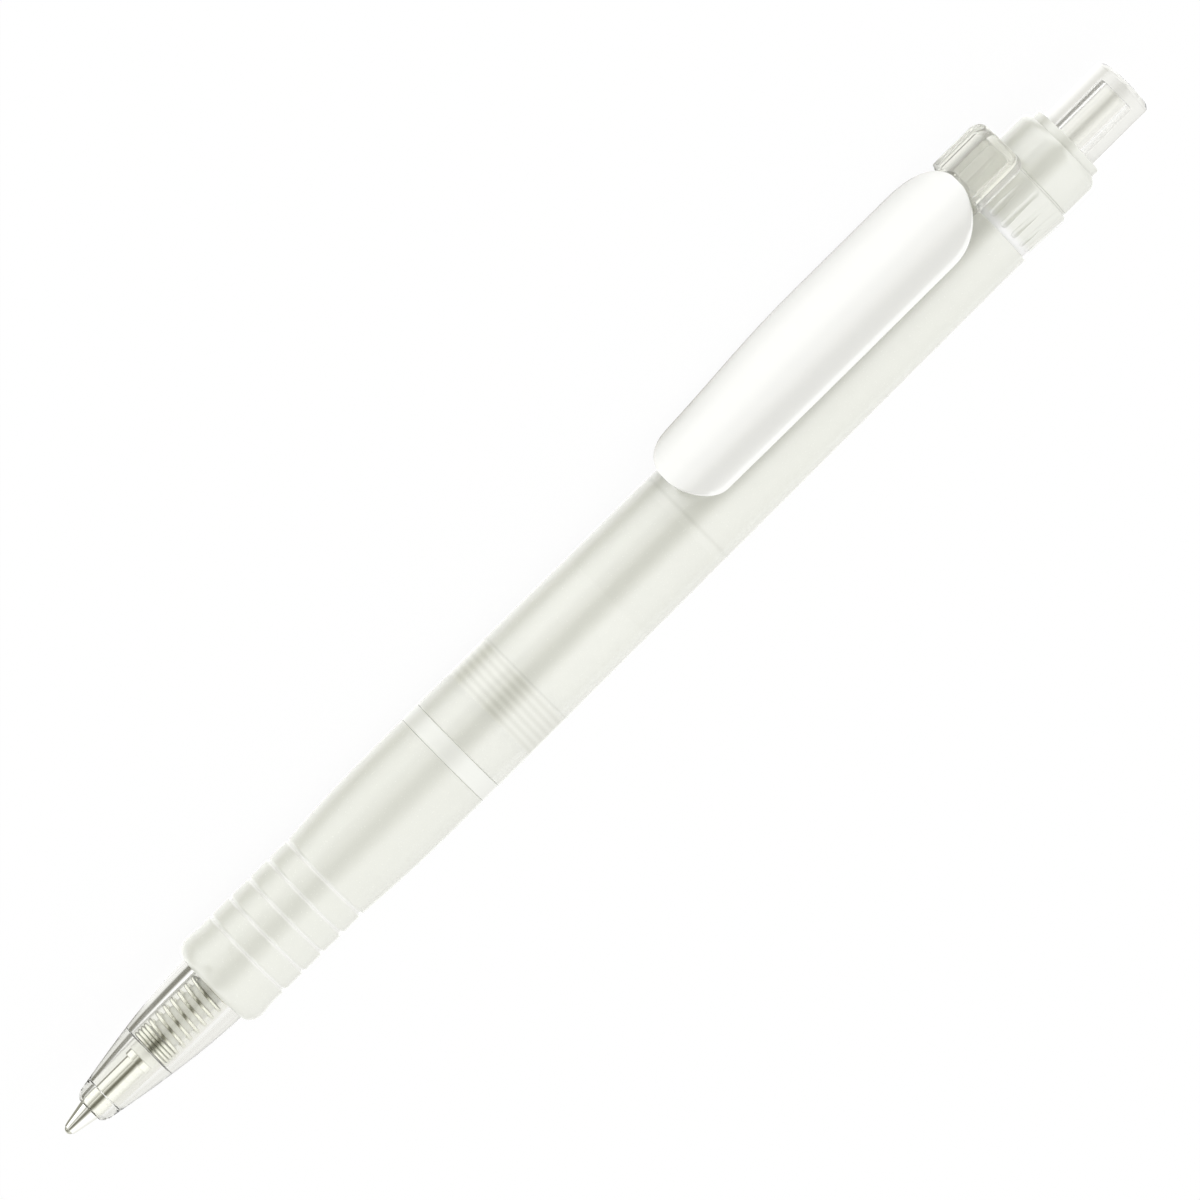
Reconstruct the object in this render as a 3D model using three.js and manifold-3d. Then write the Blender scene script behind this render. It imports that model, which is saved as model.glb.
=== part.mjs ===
// A retractable ballpoint pen: clear nose, frosted grip and barrel, white clip plate, clear push button.
// The pen lies on its side with the tip towards +X and the clip towards -Y.
// A station is a distance in mm back from the front of the writing ball, with the tip out.
import * as THREE from "three";
import { mergeVertices } from "three/addons/utils/BufferGeometryUtils.js";
import Module from "manifold-3d";

const wasm = await Module();
wasm.setup();

// Facets round the axis: outer shells, inner pieces and the writing tip.
const shellSides = 40;
const innerSides = 32;
const tipSides = 24;

// Clearances
const slideGap = 0.15; // between pieces that slide on each other
const fitGap = 0.05; // between pieces that are pressed or moulded together
const tipGap = 0.09; // round the writing tip in the nose
const seatGap = 0.3; // beside a piece that is cut to its neighbour's shape
const stopPlay = 0.3; // left between a moving piece and its stop at the end of the travel
const overcut = 1; // a cutter runs this far past the piece it opens
const smallEdge = 0.1; // edges broken on the turned pieces

// Travel of the button, the rotor and the refill
const pressTravel = 0.9; // forward of the writing position
const retractTravel = 4.4; // back from the writing position

// Writing ball and metal tip
const ballRadius = 0.5;
const ballPlay = 0.03;
const lipStation = 0.38;
const lipWall = 0.05;
const coneLength = 2.75;
const shaftRadius = 1.16;
const shaftEnd = 9.28;
const flangeRadius = 1.4;
const flangeLength = 0.75;
const inkPassage = 0.3;
const tipSpigotRadius = 0.95;
const tipSpigotLength = 2.2;

// Refill
const refillLength = 106.8;
const refillRadius = 1.5;
const refillWall = 0.5;
const inkLength = 72;
const plugLength = 4;
const plugHole = 0.35;
const springStopRadius = 2.2;
const springStopLength = 1.2;

// Nose and inner front barrel
const tipReach = 3.09; // the tip stands this far out of the nose
const noseLength = 16.17;
const noseFaceRadius = 1.45;
const noseEdgeRadius = 1.87;
const noseEdgeLength = 0.5;
const noseRearRadius = 3.87;
const noseStep = 1.97; // length of the plain front ring of the nose
const noseRingRadius = 2.15;
const noseRingLine = 0.03; // step at the front ring's rear
const noseBulge = 1.5; // exponent of the bullet curve
const tipTunnelLength = 1.97;
const tunnelFlare = 0.15;
const taperBoreFront = 1.72;
const taperBoreRear = 1.95;
const chamberShoulder = 7.9; // from the nose's front to the spring's seat
const chamberRadius = 2.55;
const frontBodyRadius = 3.72;

// Grip sleeve
const gripLength = 30.4;
const gripLipRadius = 5.07;
const gripLipLength = 1.65;
const gripWaistRadius = 4.9;
const gripWaistLength = 3.6;
const gripLandRadius = 4.97;
const grooveCount = 5;
const groovePitch = 2.52;
const groovesStart = 4.69; // first groove behind the sleeve's front
const grooveDepth = 0.28;
const grooveWidth = 0.62;
const flareLength = 10.6;
const gripRearRadius = 5.4;

// Coupler between the barrels
const ringWidth = 2.04;
const ringRadius = 5.43;
const ringChamfer = 0.12;
const couplerBore = 2.42;
const frontSpigotRadius = 3.06;
const frontSpigotLength = 5.7;
const threadSpigotRadius = 4.3;
const threadSpigotLength = 8.9;
const threadBoreFlare = 0.9; // the bore opens by this much towards the rear

// Upper barrel
const barrelLength = 69.7;
const barrelFrontRadius = 5.45;
const barrelRearRadius = 5.16;
const barrelBore = 4.5;
const barrelEdge = 0.12;

// Fluted clip collar
const collarLength = 5.5;
const collarNeckRadius = 4.78;
const collarFootRadius = 4.83; // where the bulge starts
const collarNeckLength = 0.45;
const collarBulgeRadius = 5.09;
const collarEdge = [0.25, 0.15]; // length and drop of the rear edge
const collarSpigotLength = 1.9;
const fluteCount = 20;
const fluteRadius = 0.42;
const fluteDepth = 0.24;

// End cap
const capStep = 0.2; // shadow line between the collar and the cap
const capLength = 4.2;
const capRadius = 4.77;
const capRearRadius = 4.36;
const capRounding = 0.55;

// Guide tube with its cam ribs
const guideRadius = 4.03;
const guideLength = 50.6;
const guideReach = 0.9; // stands out of the end cap
const guideFlangeLength = 0.95;
const guideBore = 3.6;
const ribInnerRadius = 2.75;
const ribLength = 9;
const ribCount = 4;
const ribSpan = 38; // degrees
const ribSlope = 0.7; // rise of the cam edge across a rib

// Push button
const buttonRadius = 3.2;
const buttonReach = 7.8; // stands out of the guide tube
const buttonDome = 0.6;
const buttonFlatRadius = 1.98; // flat middle of the end
const buttonWall = 0.85;
const buttonEndWall = 1.6;
const buttonCoreRadius = 2.6;
const buttonCoreBore = 1.75;
const buttonFlangeLength = 1.8;
const buttonFlangeRadius = 3.45;

// Cam rotor and the crown teeth where it meets the button
const rotorLength = 7.2;
const rotorEdge = 0.3;
const rotorDimple = 0.7; // hollow in the end that faces the button
const rotorSocket = 4; // depth of its hold on the refill
const finSpan = 28; // degrees
const finLength = 4.2;
const finRadius = 3.42;
const finSlope = 0.5; // the fins' rear ends climb like the ribs' cam edges
const toothCount = 8;
const toothHeight = 0.8;
const toothPlay = 0.3;

// Spring
const wireDiameter = 0.38;
const springRadius = 2.15; // outside
const endCurls = 2; // closer turns at each end
const endPitch = 0.82;
const openCurls = 5;
const openPitch = 0.97;
const endLift = 1.5 * wireDiameter; // the wire's ends stand straight for this length
const curlSteps = 8;
const wireSides = 5;

// Clip: plate, foot and arm. Heights are measured from the pen's axis along the clip's direction.
const plateLength = 39.2;
const plateOverhang = 0.6; // reaches this far past the barrel's rear end
const plateFrontHalf = 4.75;
const plateRearHalf = 5.35;
const plateFrontEnd = 3.6; // length of the rounded front end
const plateRearEnd = 5.7; // length of the rounded rear end
const plateEdgeFront = 6.45;
const plateEdgeRear = 7.4;
const plateCrown = 2.05; // arch of the plate above its edges
const plateRise = 20; // length over which the plate rises from its tip
const plateWall = 1;
const plateEdgeRound = 0.3;
const plateTipAngle = 10; // degrees round the end's ellipse at which it is cut off flat
const footStart = 0.55;
const footLength = 4.6;
const footHalf = 1.4;
const footCorner = 0.4;
const footRound = 0.25;
const armHalf = 3.25;
const armTop = 9.4;
const armBottom = 7.05;
const armLength = 11;
const armOverCap = 0.6; // reaches this far over the end cap
const armCorner = 1;
const armRound = 0.45;
const panelLength = 5;
const panelHalf = 2.3;
const panelInset = 1.15;
const panelDepth = 0.35;
const panelCorner = 0.6;
const webHalf = 1.8;
const webLength = 4.4;
const webCorner = 0.5;
const tongueLength = 11;
const tongueHalf = 2.2;
const tongueThickness = 1.1;
const tongueCorner = 0.8;

// Stations that follow from the sizes
const noseFront = tipReach;
const springSeat = noseFront + chamberShoulder;
const gripFront = noseFront + noseLength;
const ringFront = gripFront + gripLength;
const barrelFront = ringFront + ringWidth;
const collarFront = barrelFront + barrelLength;
const capFront = collarFront + collarLength + capStep;
const capRear = capFront + capLength;
const guideRear = capRear + guideReach;
const guideFront = guideRear - guideLength;
const penLength = guideRear + buttonReach;
const flangeEnd = shaftEnd + flangeLength;
const springLength = 2 * endCurls * endPitch + openCurls * openPitch + 2 * endLift;
const stopFront = springSeat + springLength;
const rotorRear = refillLength - rotorSocket + rotorLength;
const ribFront = rotorRear;
const ribRear = ribFront + ribLength;
const buttonTeeth = rotorRear + toothPlay;
const buttonFlangeFront = ribRear + pressTravel + stopPlay;
const guideShoulder = buttonFlangeFront + buttonFlangeLength + retractTravel + stopPlay;
const plateRear = collarFront + plateOverhang;
const plateFront = plateRear - plateLength;
const armRear = capFront + armOverCap;
const armFront = armRear - armLength;

// The clip is turned a little about the pen's axis, so that its lower edge lies on the table with the barrel.
const clipTurn =
  Math.asin(barrelFrontRadius / Math.hypot(plateRearHalf, plateEdgeRear)) -
  Math.atan2(plateRearHalf, plateEdgeRear);

const along = (station) => penLength / 2 - station;
const degrees = (angle) => (angle * Math.PI) / 180;
const ease = (t) => t * t * (3 - 2 * t);
const clamp01 = (t) => Math.min(1, Math.max(0, t));

// Turns a shape drawn in X and Y and swept along Z into pen coordinates, swept along X.
const sweptToPen = new THREE.Matrix4().makeBasis(
  new THREE.Vector3(0, 1, 0),
  new THREE.Vector3(0, 0, 1),
  new THREE.Vector3(1, 0, 0),
);
// Turns a revolved profile, whose axis is Y, so that the axis is X.
const revolvedToPen = new THREE.Matrix4().makeBasis(
  new THREE.Vector3(0, 0, 1),
  new THREE.Vector3(1, 0, 0),
  new THREE.Vector3(0, 1, 0),
);
// Clip coordinates are X along the pen, Y across the plate and Z away from the axis.
const clipToPen = new THREE.Matrix4()
  .makeRotationX(clipTurn)
  .multiply(new THREE.Matrix4().makeRotationX(Math.PI / 2));

function solidFrom(geometry) {
  const bare = geometry.clone();
  bare.deleteAttribute("normal");
  bare.deleteAttribute("uv");
  const merged = mergeVertices(bare, 1e-4);
  const index = merged.index.array;
  const kept = [];
  for (let i = 0; i < index.length; i += 3) {
    const [a, b, c] = [index[i], index[i + 1], index[i + 2]];
    if (a !== b && b !== c && c !== a) kept.push(a, b, c);
  }
  return new wasm.Manifold(
    new wasm.Mesh({
      numProp: 3,
      vertProperties: merged.attributes.position.array,
      triVerts: new Uint32Array(kept),
    }),
  );
}

const pen = new THREE.Group();

function addPiece(name, solid, look) {
  const mesh = solid.getMesh();
  const geometry = new THREE.BufferGeometry();
  geometry.setAttribute("position", new THREE.BufferAttribute(mesh.vertProperties, 3));
  geometry.setIndex(new THREE.BufferAttribute(mesh.triVerts, 1));
  geometry.computeVertexNormals();
  const piece = new THREE.Mesh(geometry, new THREE.MeshStandardMaterial(look));
  piece.name = name;
  pen.add(piece);
  return piece;
}

const clearPlastic = { color: 0xe9ebdf, roughness: 0.08, transparent: true, opacity: 0.45 };
const frostedPlastic = { color: 0xe6e7dc, roughness: 0.5, transparent: true, opacity: 0.8 };
const whitePlastic = { color: 0xf4f4ec, roughness: 0.35 };
const steel = { color: 0xb9b8a4, roughness: 0.2, metalness: 1 };

// A profile is a list of [station, radius], closed on itself or from axis to axis.
function revolveGeometry(profile, sides) {
  const points = profile.map(([station, radius]) => new THREE.Vector2(radius, along(station)));
  const onAxis = points[0].x === 0 && points.at(-1).x === 0;
  if (THREE.ShapeUtils.area(points) < 0) points.reverse();
  if (!onAxis) points.push(points[0].clone());
  return new THREE.LatheGeometry(points, sides).applyMatrix4(revolvedToPen);
}

const revolve = (profile, sides) => solidFrom(revolveGeometry(profile, sides));

const sleeve = (from, to, outer, inner) => [
  [from, outer],
  [to, outer],
  [to, inner],
  [from, inner],
];

// The rounded edge between two profile points, bulging away from the axis.
function rounding(from, to, steps, startsAlongAxis) {
  const corner = startsAlongAxis ? [to[0], from[1]] : [from[0], to[1]];
  const curve = new THREE.QuadraticBezierCurve(
    new THREE.Vector2(...from),
    new THREE.Vector2(...corner),
    new THREE.Vector2(...to),
  );
  return curve.getPoints(steps).map((p) => [p.x, p.y]);
}

// A sector of a tube between two radii, centred on an angle; the edge at edgeStation climbs by slope.
function sector(from, to, inner, outer, centre, span, edgeStation, slope) {
  const start = degrees(centre - span / 2);
  const end = degrees(centre + span / 2);
  const steps = 4;
  const shape = new THREE.Shape();
  for (let i = 0; i <= steps; i++) {
    const a = THREE.MathUtils.lerp(start, end, i / steps);
    const x = outer * Math.cos(a);
    const y = outer * Math.sin(a);
    if (i === 0) shape.moveTo(x, y);
    else shape.lineTo(x, y);
  }
  for (let i = steps; i >= 0; i--) {
    const a = THREE.MathUtils.lerp(start, end, i / steps);
    shape.lineTo(inner * Math.cos(a), inner * Math.sin(a));
  }
  shape.closePath();
  const geometry = new THREE.ExtrudeGeometry(shape, { depth: to - from, bevelEnabled: false });
  geometry.translate(0, 0, along(to)).applyMatrix4(sweptToPen);
  const position = geometry.attributes.position;
  for (let i = 0; i < position.count; i++) {
    if (Math.abs(position.getX(i) - along(edgeStation)) > 1e-6) continue;
    const angle = Math.atan2(position.getZ(i), position.getY(i));
    const turn = THREE.MathUtils.euclideanModulo(angle - start, 2 * Math.PI);
    const share = turn > Math.PI ? 0 : clamp01(turn / (end - start));
    position.setX(i, position.getX(i) - slope * share);
  }
  return solidFrom(geometry);
}

// Raises the flat end at a station into a ring of pointed teeth.
function crown(geometry, station, height) {
  const position = geometry.attributes.position;
  for (let i = 0; i < position.count; i++) {
    if (Math.abs(position.getX(i) - along(station)) > 1e-6) continue;
    const angle = Math.atan2(position.getZ(i), position.getY(i));
    const turn = THREE.MathUtils.euclideanModulo((angle * toothCount) / (2 * Math.PI), 1);
    position.setX(i, position.getX(i) + height * (1 - Math.abs(2 * turn - 1)));
  }
  return geometry;
}

function writingTip() {
  const socket = ballRadius + ballPlay;
  const coneRear = lipStation + coneLength;
  const tip = revolve(
    [
      [lipStation, socket + lipWall],
      [coneRear, shaftRadius],
      [shaftEnd, shaftRadius],
      [shaftEnd, flangeRadius],
      [flangeEnd, flangeRadius],
      [flangeEnd, tipSpigotRadius],
      [flangeEnd + tipSpigotLength, tipSpigotRadius],
      [flangeEnd + tipSpigotLength, inkPassage],
      [2 * ballRadius + inkPassage, inkPassage],
      [2 * ballRadius, socket],
      [lipStation, socket],
    ],
    tipSides,
  );
  addPiece("writing_tip", tip, steel);
  const ball = new THREE.SphereGeometry(ballRadius, 16, 10).translate(along(ballRadius), 0, 0);
  addPiece("writing_ball", solidFrom(ball), { ...steel, roughness: 0.1 });
}

function refill() {
  const bore = refillRadius - refillWall;
  const stopRear = stopFront + springStopLength;
  const spigotEnd = flangeEnd + tipSpigotLength;
  addPiece(
    "refill_tube",
    revolve(
      [
        [flangeEnd, refillRadius],
        [stopFront, refillRadius],
        [stopFront, springStopRadius],
        [stopFront + springStopLength / 2, springStopRadius],
        [stopRear, refillRadius],
        [refillLength, refillRadius],
        [refillLength, bore],
        [flangeEnd, bore],
      ],
      innerSides,
    ),
    whitePlastic,
  );
    const ink = revolve(
    [
      [spigotEnd, 0],
      [spigotEnd, bore - fitGap],
      [spigotEnd + inkLength, bore - fitGap],
      [spigotEnd + inkLength, 0],
    ],
    tipSides,
  );
  addPiece("ink_column", ink, { color: 0x1d2f6f, roughness: 0.3 });
  const plugFront = refillLength - plugLength;
  addPiece(
    "refill_plug",
    revolve(sleeve(plugFront, refillLength, bore - fitGap, plugHole), tipSides),
    whitePlastic,
  );
}

// Radius of the nose's bullet curve behind its front ring.
function noseRadiusAt(station) {
  const rear = gripFront;
  const front = noseFront + noseStep;
  return (
    noseRearRadius -
    (noseRearRadius - noseRingRadius) * ((rear - station) / (rear - front)) ** noseBulge
  );
}

function frontBarrel() {
  const ringRear = noseFront + noseStep;
  const outer = [
    [noseFront, noseFaceRadius],
    ...rounding(
      [noseFront, noseFaceRadius],
      [noseFront + noseEdgeLength, noseEdgeRadius],
      3,
      false,
    ).slice(1),
    [ringRear, noseRingRadius - noseRingLine],
  ];
  const curveSteps = 9;
  for (let i = 0; i <= curveSteps; i++) {
    const station = THREE.MathUtils.lerp(ringRear + smallEdge, gripFront, i / curveSteps);
    outer.push([station, noseRadiusAt(station)]);
  }
  outer.push([gripFront, frontBodyRadius], [ringFront, frontBodyRadius]);
  const tunnel = shaftRadius + tipGap;
  const socketFront = ringFront - frontSpigotLength - fitGap;
  const socketRadius = frontSpigotRadius + fitGap;
  const bore = [
    [ringFront, socketRadius],
    [socketFront, socketRadius],
    [socketFront, chamberRadius],
    [springSeat, chamberRadius],
    [springSeat, taperBoreRear],
    [noseFront + tipTunnelLength + tunnelFlare, taperBoreFront],
    [noseFront + tipTunnelLength, tunnel],
    [noseFront, tunnel],
  ];
  addPiece("front_barrel", revolve([...outer, ...bore], shellSides), clearPlastic);
}

function gripSleeve() {
  const seat = frontBodyRadius + fitGap;
  const lipCrest = gripFront + gripLipLength;
  const waist = gripFront + gripWaistLength;
  const profile = [
    ...rounding([gripFront, noseRearRadius], [lipCrest, gripLipRadius], 6, false),
    [(lipCrest + waist) / 2, (gripLipRadius + gripWaistRadius) / 2],
    [waist, gripWaistRadius],
  ];
  for (let i = 0; i < grooveCount; i++) {
    const middle = gripFront + groovesStart + i * groovePitch;
    profile.push(
      [middle - grooveWidth / 2, gripLandRadius],
      [middle, gripLandRadius - grooveDepth],
      [middle + grooveWidth / 2, gripLandRadius],
    );
  }
  const flareStart = gripFront + groovesStart + (grooveCount - 1) * groovePitch + grooveWidth;
  const flareSteps = 7;
  for (let i = 1; i <= flareSteps; i++) {
    const t = i / flareSteps;
    const swell = (gripRearRadius - gripLandRadius) * (1 - (1 - t) ** 2);
    profile.push([flareStart + t * flareLength, gripLandRadius + swell]);
  }
  profile.push([ringFront, gripRearRadius], [ringFront, seat], [gripFront, seat]);
  addPiece("grip_sleeve", revolve(profile, shellSides), frostedPlastic);
}

function coupler() {
  const frontEnd = ringFront - frontSpigotLength;
  const rearEnd = barrelFront + threadSpigotLength;
  addPiece(
    "threaded_coupler",
    revolve(
      [
        [frontEnd, frontSpigotRadius],
        [ringFront, frontSpigotRadius],
        [ringFront, ringRadius - ringChamfer],
        [ringFront + ringChamfer, ringRadius],
        [barrelFront - ringChamfer, ringRadius],
        [barrelFront, ringRadius - ringChamfer],
        [barrelFront, threadSpigotRadius],
        [rearEnd, threadSpigotRadius],
        [rearEnd, couplerBore + threadBoreFlare],
        [barrelFront + ringWidth, couplerBore],
        [frontEnd, couplerBore],
      ],
      shellSides,
    ),
    whitePlastic,
  );
}

function upperBarrel() {
  addPiece(
    "upper_barrel",
    revolve(
      [
        [barrelFront, barrelFrontRadius - barrelEdge],
        [barrelFront + barrelEdge, barrelFrontRadius],
        [collarFront - barrelEdge, barrelRearRadius],
        [collarFront, barrelRearRadius - barrelEdge],
        [collarFront, barrelBore],
        [barrelFront, barrelBore],
      ],
      shellSides,
    ),
    frostedPlastic,
  );
}

function clipCollar() {
  const bore = guideRadius + fitGap;
  const rear = collarFront + collarLength;
  const fluteFront = collarFront + collarNeckLength;
  let ring = revolve(
    [
      [collarFront - collarSpigotLength, barrelBore - fitGap],
      [collarFront, barrelBore - fitGap],
      [collarFront, collarNeckRadius],
      [fluteFront, collarFootRadius],
      [rear - collarEdge[0], collarBulgeRadius],
      [rear, collarBulgeRadius - collarEdge[1]],
      [rear, capRadius],
      [capFront, capRadius - capStep],
      [capFront, bore],
      [collarFront - collarSpigotLength, bore],
    ],
    shellSides,
  );
  const reach = rear + overcut - fluteFront;
  const cutter = new THREE.CapsuleGeometry(fluteRadius, reach, 3, 8).rotateZ(Math.PI / 2);
  for (let i = 0; i < fluteCount; i++) {
    const flute = cutter.clone();
    const middle = fluteFront + fluteRadius + reach / 2;
    flute.translate(along(middle), collarBulgeRadius - fluteDepth + fluteRadius, 0);
    flute.rotateX(((i + 0.5) * 2 * Math.PI) / fluteCount);
    ring = ring.subtract(solidFrom(flute));
  }
  addPiece("clip_collar", ring, frostedPlastic);
}

function endCap() {
  const bore = guideRadius + fitGap;
  addPiece(
    "end_cap",
    revolve(
      [
        [capFront, capRadius - smallEdge],
        [capFront + smallEdge, capRadius],
        ...rounding([capRear - capRounding, capRadius], [capRear, capRearRadius], 4, true),
        [capRear, bore],
        [capFront, bore],
      ],
      shellSides,
    ),
    frostedPlastic,
  );
}

function guideTube() {
  const mouth = buttonRadius + slideGap;
  let tube = revolve(
    [
      [guideFront, barrelBore - fitGap],
      [guideFront + guideFlangeLength, barrelBore - fitGap],
      [guideFront + guideFlangeLength, guideRadius],
      [guideRear - smallEdge, guideRadius],
      [guideRear, guideRadius - smallEdge],
      [guideRear, mouth],
      [guideShoulder, mouth],
      [guideShoulder, guideBore],
      [guideFront, guideBore],
    ],
    innerSides,
  );
  const rooted = (guideBore + guideRadius) / 2;
  for (let i = 0; i < ribCount; i++) {
    const centre = ((i + 0.5) * 360) / ribCount;
    tube = tube.add(
      sector(ribFront, ribRear, ribInnerRadius, rooted, centre, ribSpan, ribFront, ribSlope),
    );
  }
  addPiece("guide_tube", tube, frostedPlastic);
}

function pushButton() {
  const bore = buttonRadius - buttonWall;
  const flangeRear = buttonFlangeFront + buttonFlangeLength;
  const geometry = revolveGeometry(
    [
      [penLength, 0],
      ...rounding([penLength, buttonFlatRadius], [penLength - buttonDome, buttonRadius], 4, false),
      [flangeRear, buttonRadius],
      [flangeRear, buttonFlangeRadius],
      [buttonFlangeFront, buttonFlangeRadius],
      [buttonFlangeFront, buttonCoreRadius],
      [buttonTeeth + toothHeight, buttonCoreRadius],
      [buttonTeeth + toothHeight, buttonCoreBore],
      [buttonFlangeFront, buttonCoreBore],
      [flangeRear, bore],
      [penLength - buttonEndWall, bore],
      [penLength - buttonEndWall, 0],
    ],
    innerSides,
  );
  let button = solidFrom(crown(geometry, buttonTeeth + toothHeight, toothHeight));
  for (let i = 0; i < ribCount; i++) {
    const from = buttonTeeth + 2 * toothHeight;
    const fin = sector(
      from,
      buttonFlangeFront + fitGap,
      buttonCoreRadius - fitGap,
      finRadius,
      (i * 360) / ribCount,
      finSpan,
      from,
      0,
    );
    button = button.add(fin);
  }
  addPiece("push_button", button, clearPlastic);
}

function camRotor() {
  const front = rotorRear - rotorLength;
  const socket = refillRadius + slideGap;
  const root = rotorRear - toothHeight;
  const geometry = revolveGeometry(
    [
      [front, buttonCoreRadius - rotorEdge],
      [front + rotorEdge, buttonCoreRadius],
      [root, buttonCoreRadius],
      [root, buttonCoreBore],
      [root - rotorDimple, 0],
      [refillLength, 0],
      [refillLength, socket],
      [front, socket],
    ],
    innerSides,
  );
  let rotor = solidFrom(crown(geometry, root, -toothHeight));
  const finRear = ribFront - stopPlay - finSlope;
  for (let i = 0; i < ribCount; i++) {
    const fin = sector(
      finRear - finLength,
      finRear,
      buttonCoreRadius - fitGap,
      finRadius,
      (i * 360) / ribCount,
      finSpan,
      finRear,
      finSlope,
    );
    rotor = rotor.add(fin);
  }
  addPiece("cam_rotor", rotor, whitePlastic);
}

// Centre line of the wire: a straight end on the front seat, the turns, and a straight end on the stop.
function springPath(stepsPerCurl) {
  const centreRadius = springRadius - wireDiameter / 2;
  const curls = 2 * endCurls + openCurls;
  const path = [];
  const place = (station, turn) => {
    const angle = 2 * Math.PI * turn;
    const outward = new THREE.Vector3(0, Math.cos(angle), Math.sin(angle));
    const around = new THREE.Vector3(0, -Math.sin(angle), Math.cos(angle));
    const point = outward.clone().multiplyScalar(centreRadius).setX(along(station));
    path.push({ point, outward, around, turn });
  };
  place(springSeat, 0);
  for (let i = 0; i <= curls * stepsPerCurl; i++) {
    const turn = i / stepsPerCurl;
    const open = Math.min(openCurls, Math.max(0, turn - endCurls));
    place(springSeat + endLift + (turn - open) * endPitch + open * openPitch, turn);
  }
  place(stopFront, curls);
  return path;
}

function leastSpringGap() {
  const path = springPath(4 * curlSteps);
  const halfTurn = 0.5;
  let least = Infinity;
  path.forEach((a, i) =>
    path.slice(i + 1).forEach((b) => {
      if (b.turn - a.turn > halfTurn) least = Math.min(least, a.point.distanceTo(b.point));
    }),
  );
  return least - wireDiameter;
}

function spring() {
  const path = springPath(curlSteps);
  const last = path.length - 1;
  const rearwards = new THREE.Vector3(-1, 0, 0);
  const slopeOf = (pitch) => pitch / (2 * Math.PI * (springRadius - wireDiameter / 2));
  const wound = ({ around, turn }) => {
    const inEnd = turn < endCurls || turn > endCurls + openCurls;
    const slope = slopeOf(inEnd ? endPitch : openPitch);
    return around.clone().addScaledVector(rearwards, slope).normalize();
  };
  const corners = [];
  path.forEach((place, i) => {
    let direction = rearwards.clone();
    let stretch = 1;
    if (i > 0 && i < last) direction = wound(place);
    if (i === 1 || i === last - 1) {
      const middle = direction.clone().add(rearwards).normalize();
      stretch = 1 / middle.dot(direction);
      direction = middle;
    }
    const across = new THREE.Vector3().crossVectors(direction, place.outward);
    for (let k = 0; k < wireSides; k++) {
      const a = (2 * Math.PI * k) / wireSides;
      corners.push(
        place.point
          .clone()
          .addScaledVector(place.outward, (wireDiameter / 2) * Math.cos(a))
          .addScaledVector(across, (wireDiameter / 2) * stretch * Math.sin(a)),
      );
    }
  });
  const index = [];
  for (let i = 0; i < last; i++) {
    for (let k = 0; k < wireSides; k++) {
      const a = i * wireSides + k;
      const b = i * wireSides + ((k + 1) % wireSides);
      index.push(a, b, b + wireSides, a, b + wireSides, a + wireSides);
    }
  }
  for (let k = 1; k < wireSides - 1; k++) {
    index.push(0, k + 1, k);
    const rear = last * wireSides;
    index.push(rear, rear + k, rear + k + 1);
  }
  const geometry = new THREE.BufferGeometry().setFromPoints(corners);
  geometry.setIndex(index);
  addPiece("spring", solidFrom(geometry), steel);
  console.log("spring: least gap between turns", leastSpringGap().toFixed(3), "mm");
}

const barrelRadiusAt = (station) =>
  THREE.MathUtils.mapLinear(station, barrelFront, collarFront, barrelFrontRadius, barrelRearRadius);

// The plate rises and widens from its tip over its front half.
const plateShare = (station) => ease(clamp01((station - plateFront) / plateRise));
const plateHalf = (station) =>
  THREE.MathUtils.lerp(plateFrontHalf, plateRearHalf, plateShare(station));
const plateEdge = (station) =>
  THREE.MathUtils.lerp(plateEdgeFront, plateEdgeRear, plateShare(station));

// Height of the plate's top over its middle line, at a distance across it.
function plateTop(station, across) {
  const half = plateHalf(station);
  const archRadius = (half ** 2 + plateCrown ** 2) / (2 * plateCrown);
  const drop = archRadius - Math.sqrt(archRadius ** 2 - across ** 2);
  return plateEdge(station) + plateCrown - drop;
}

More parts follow.
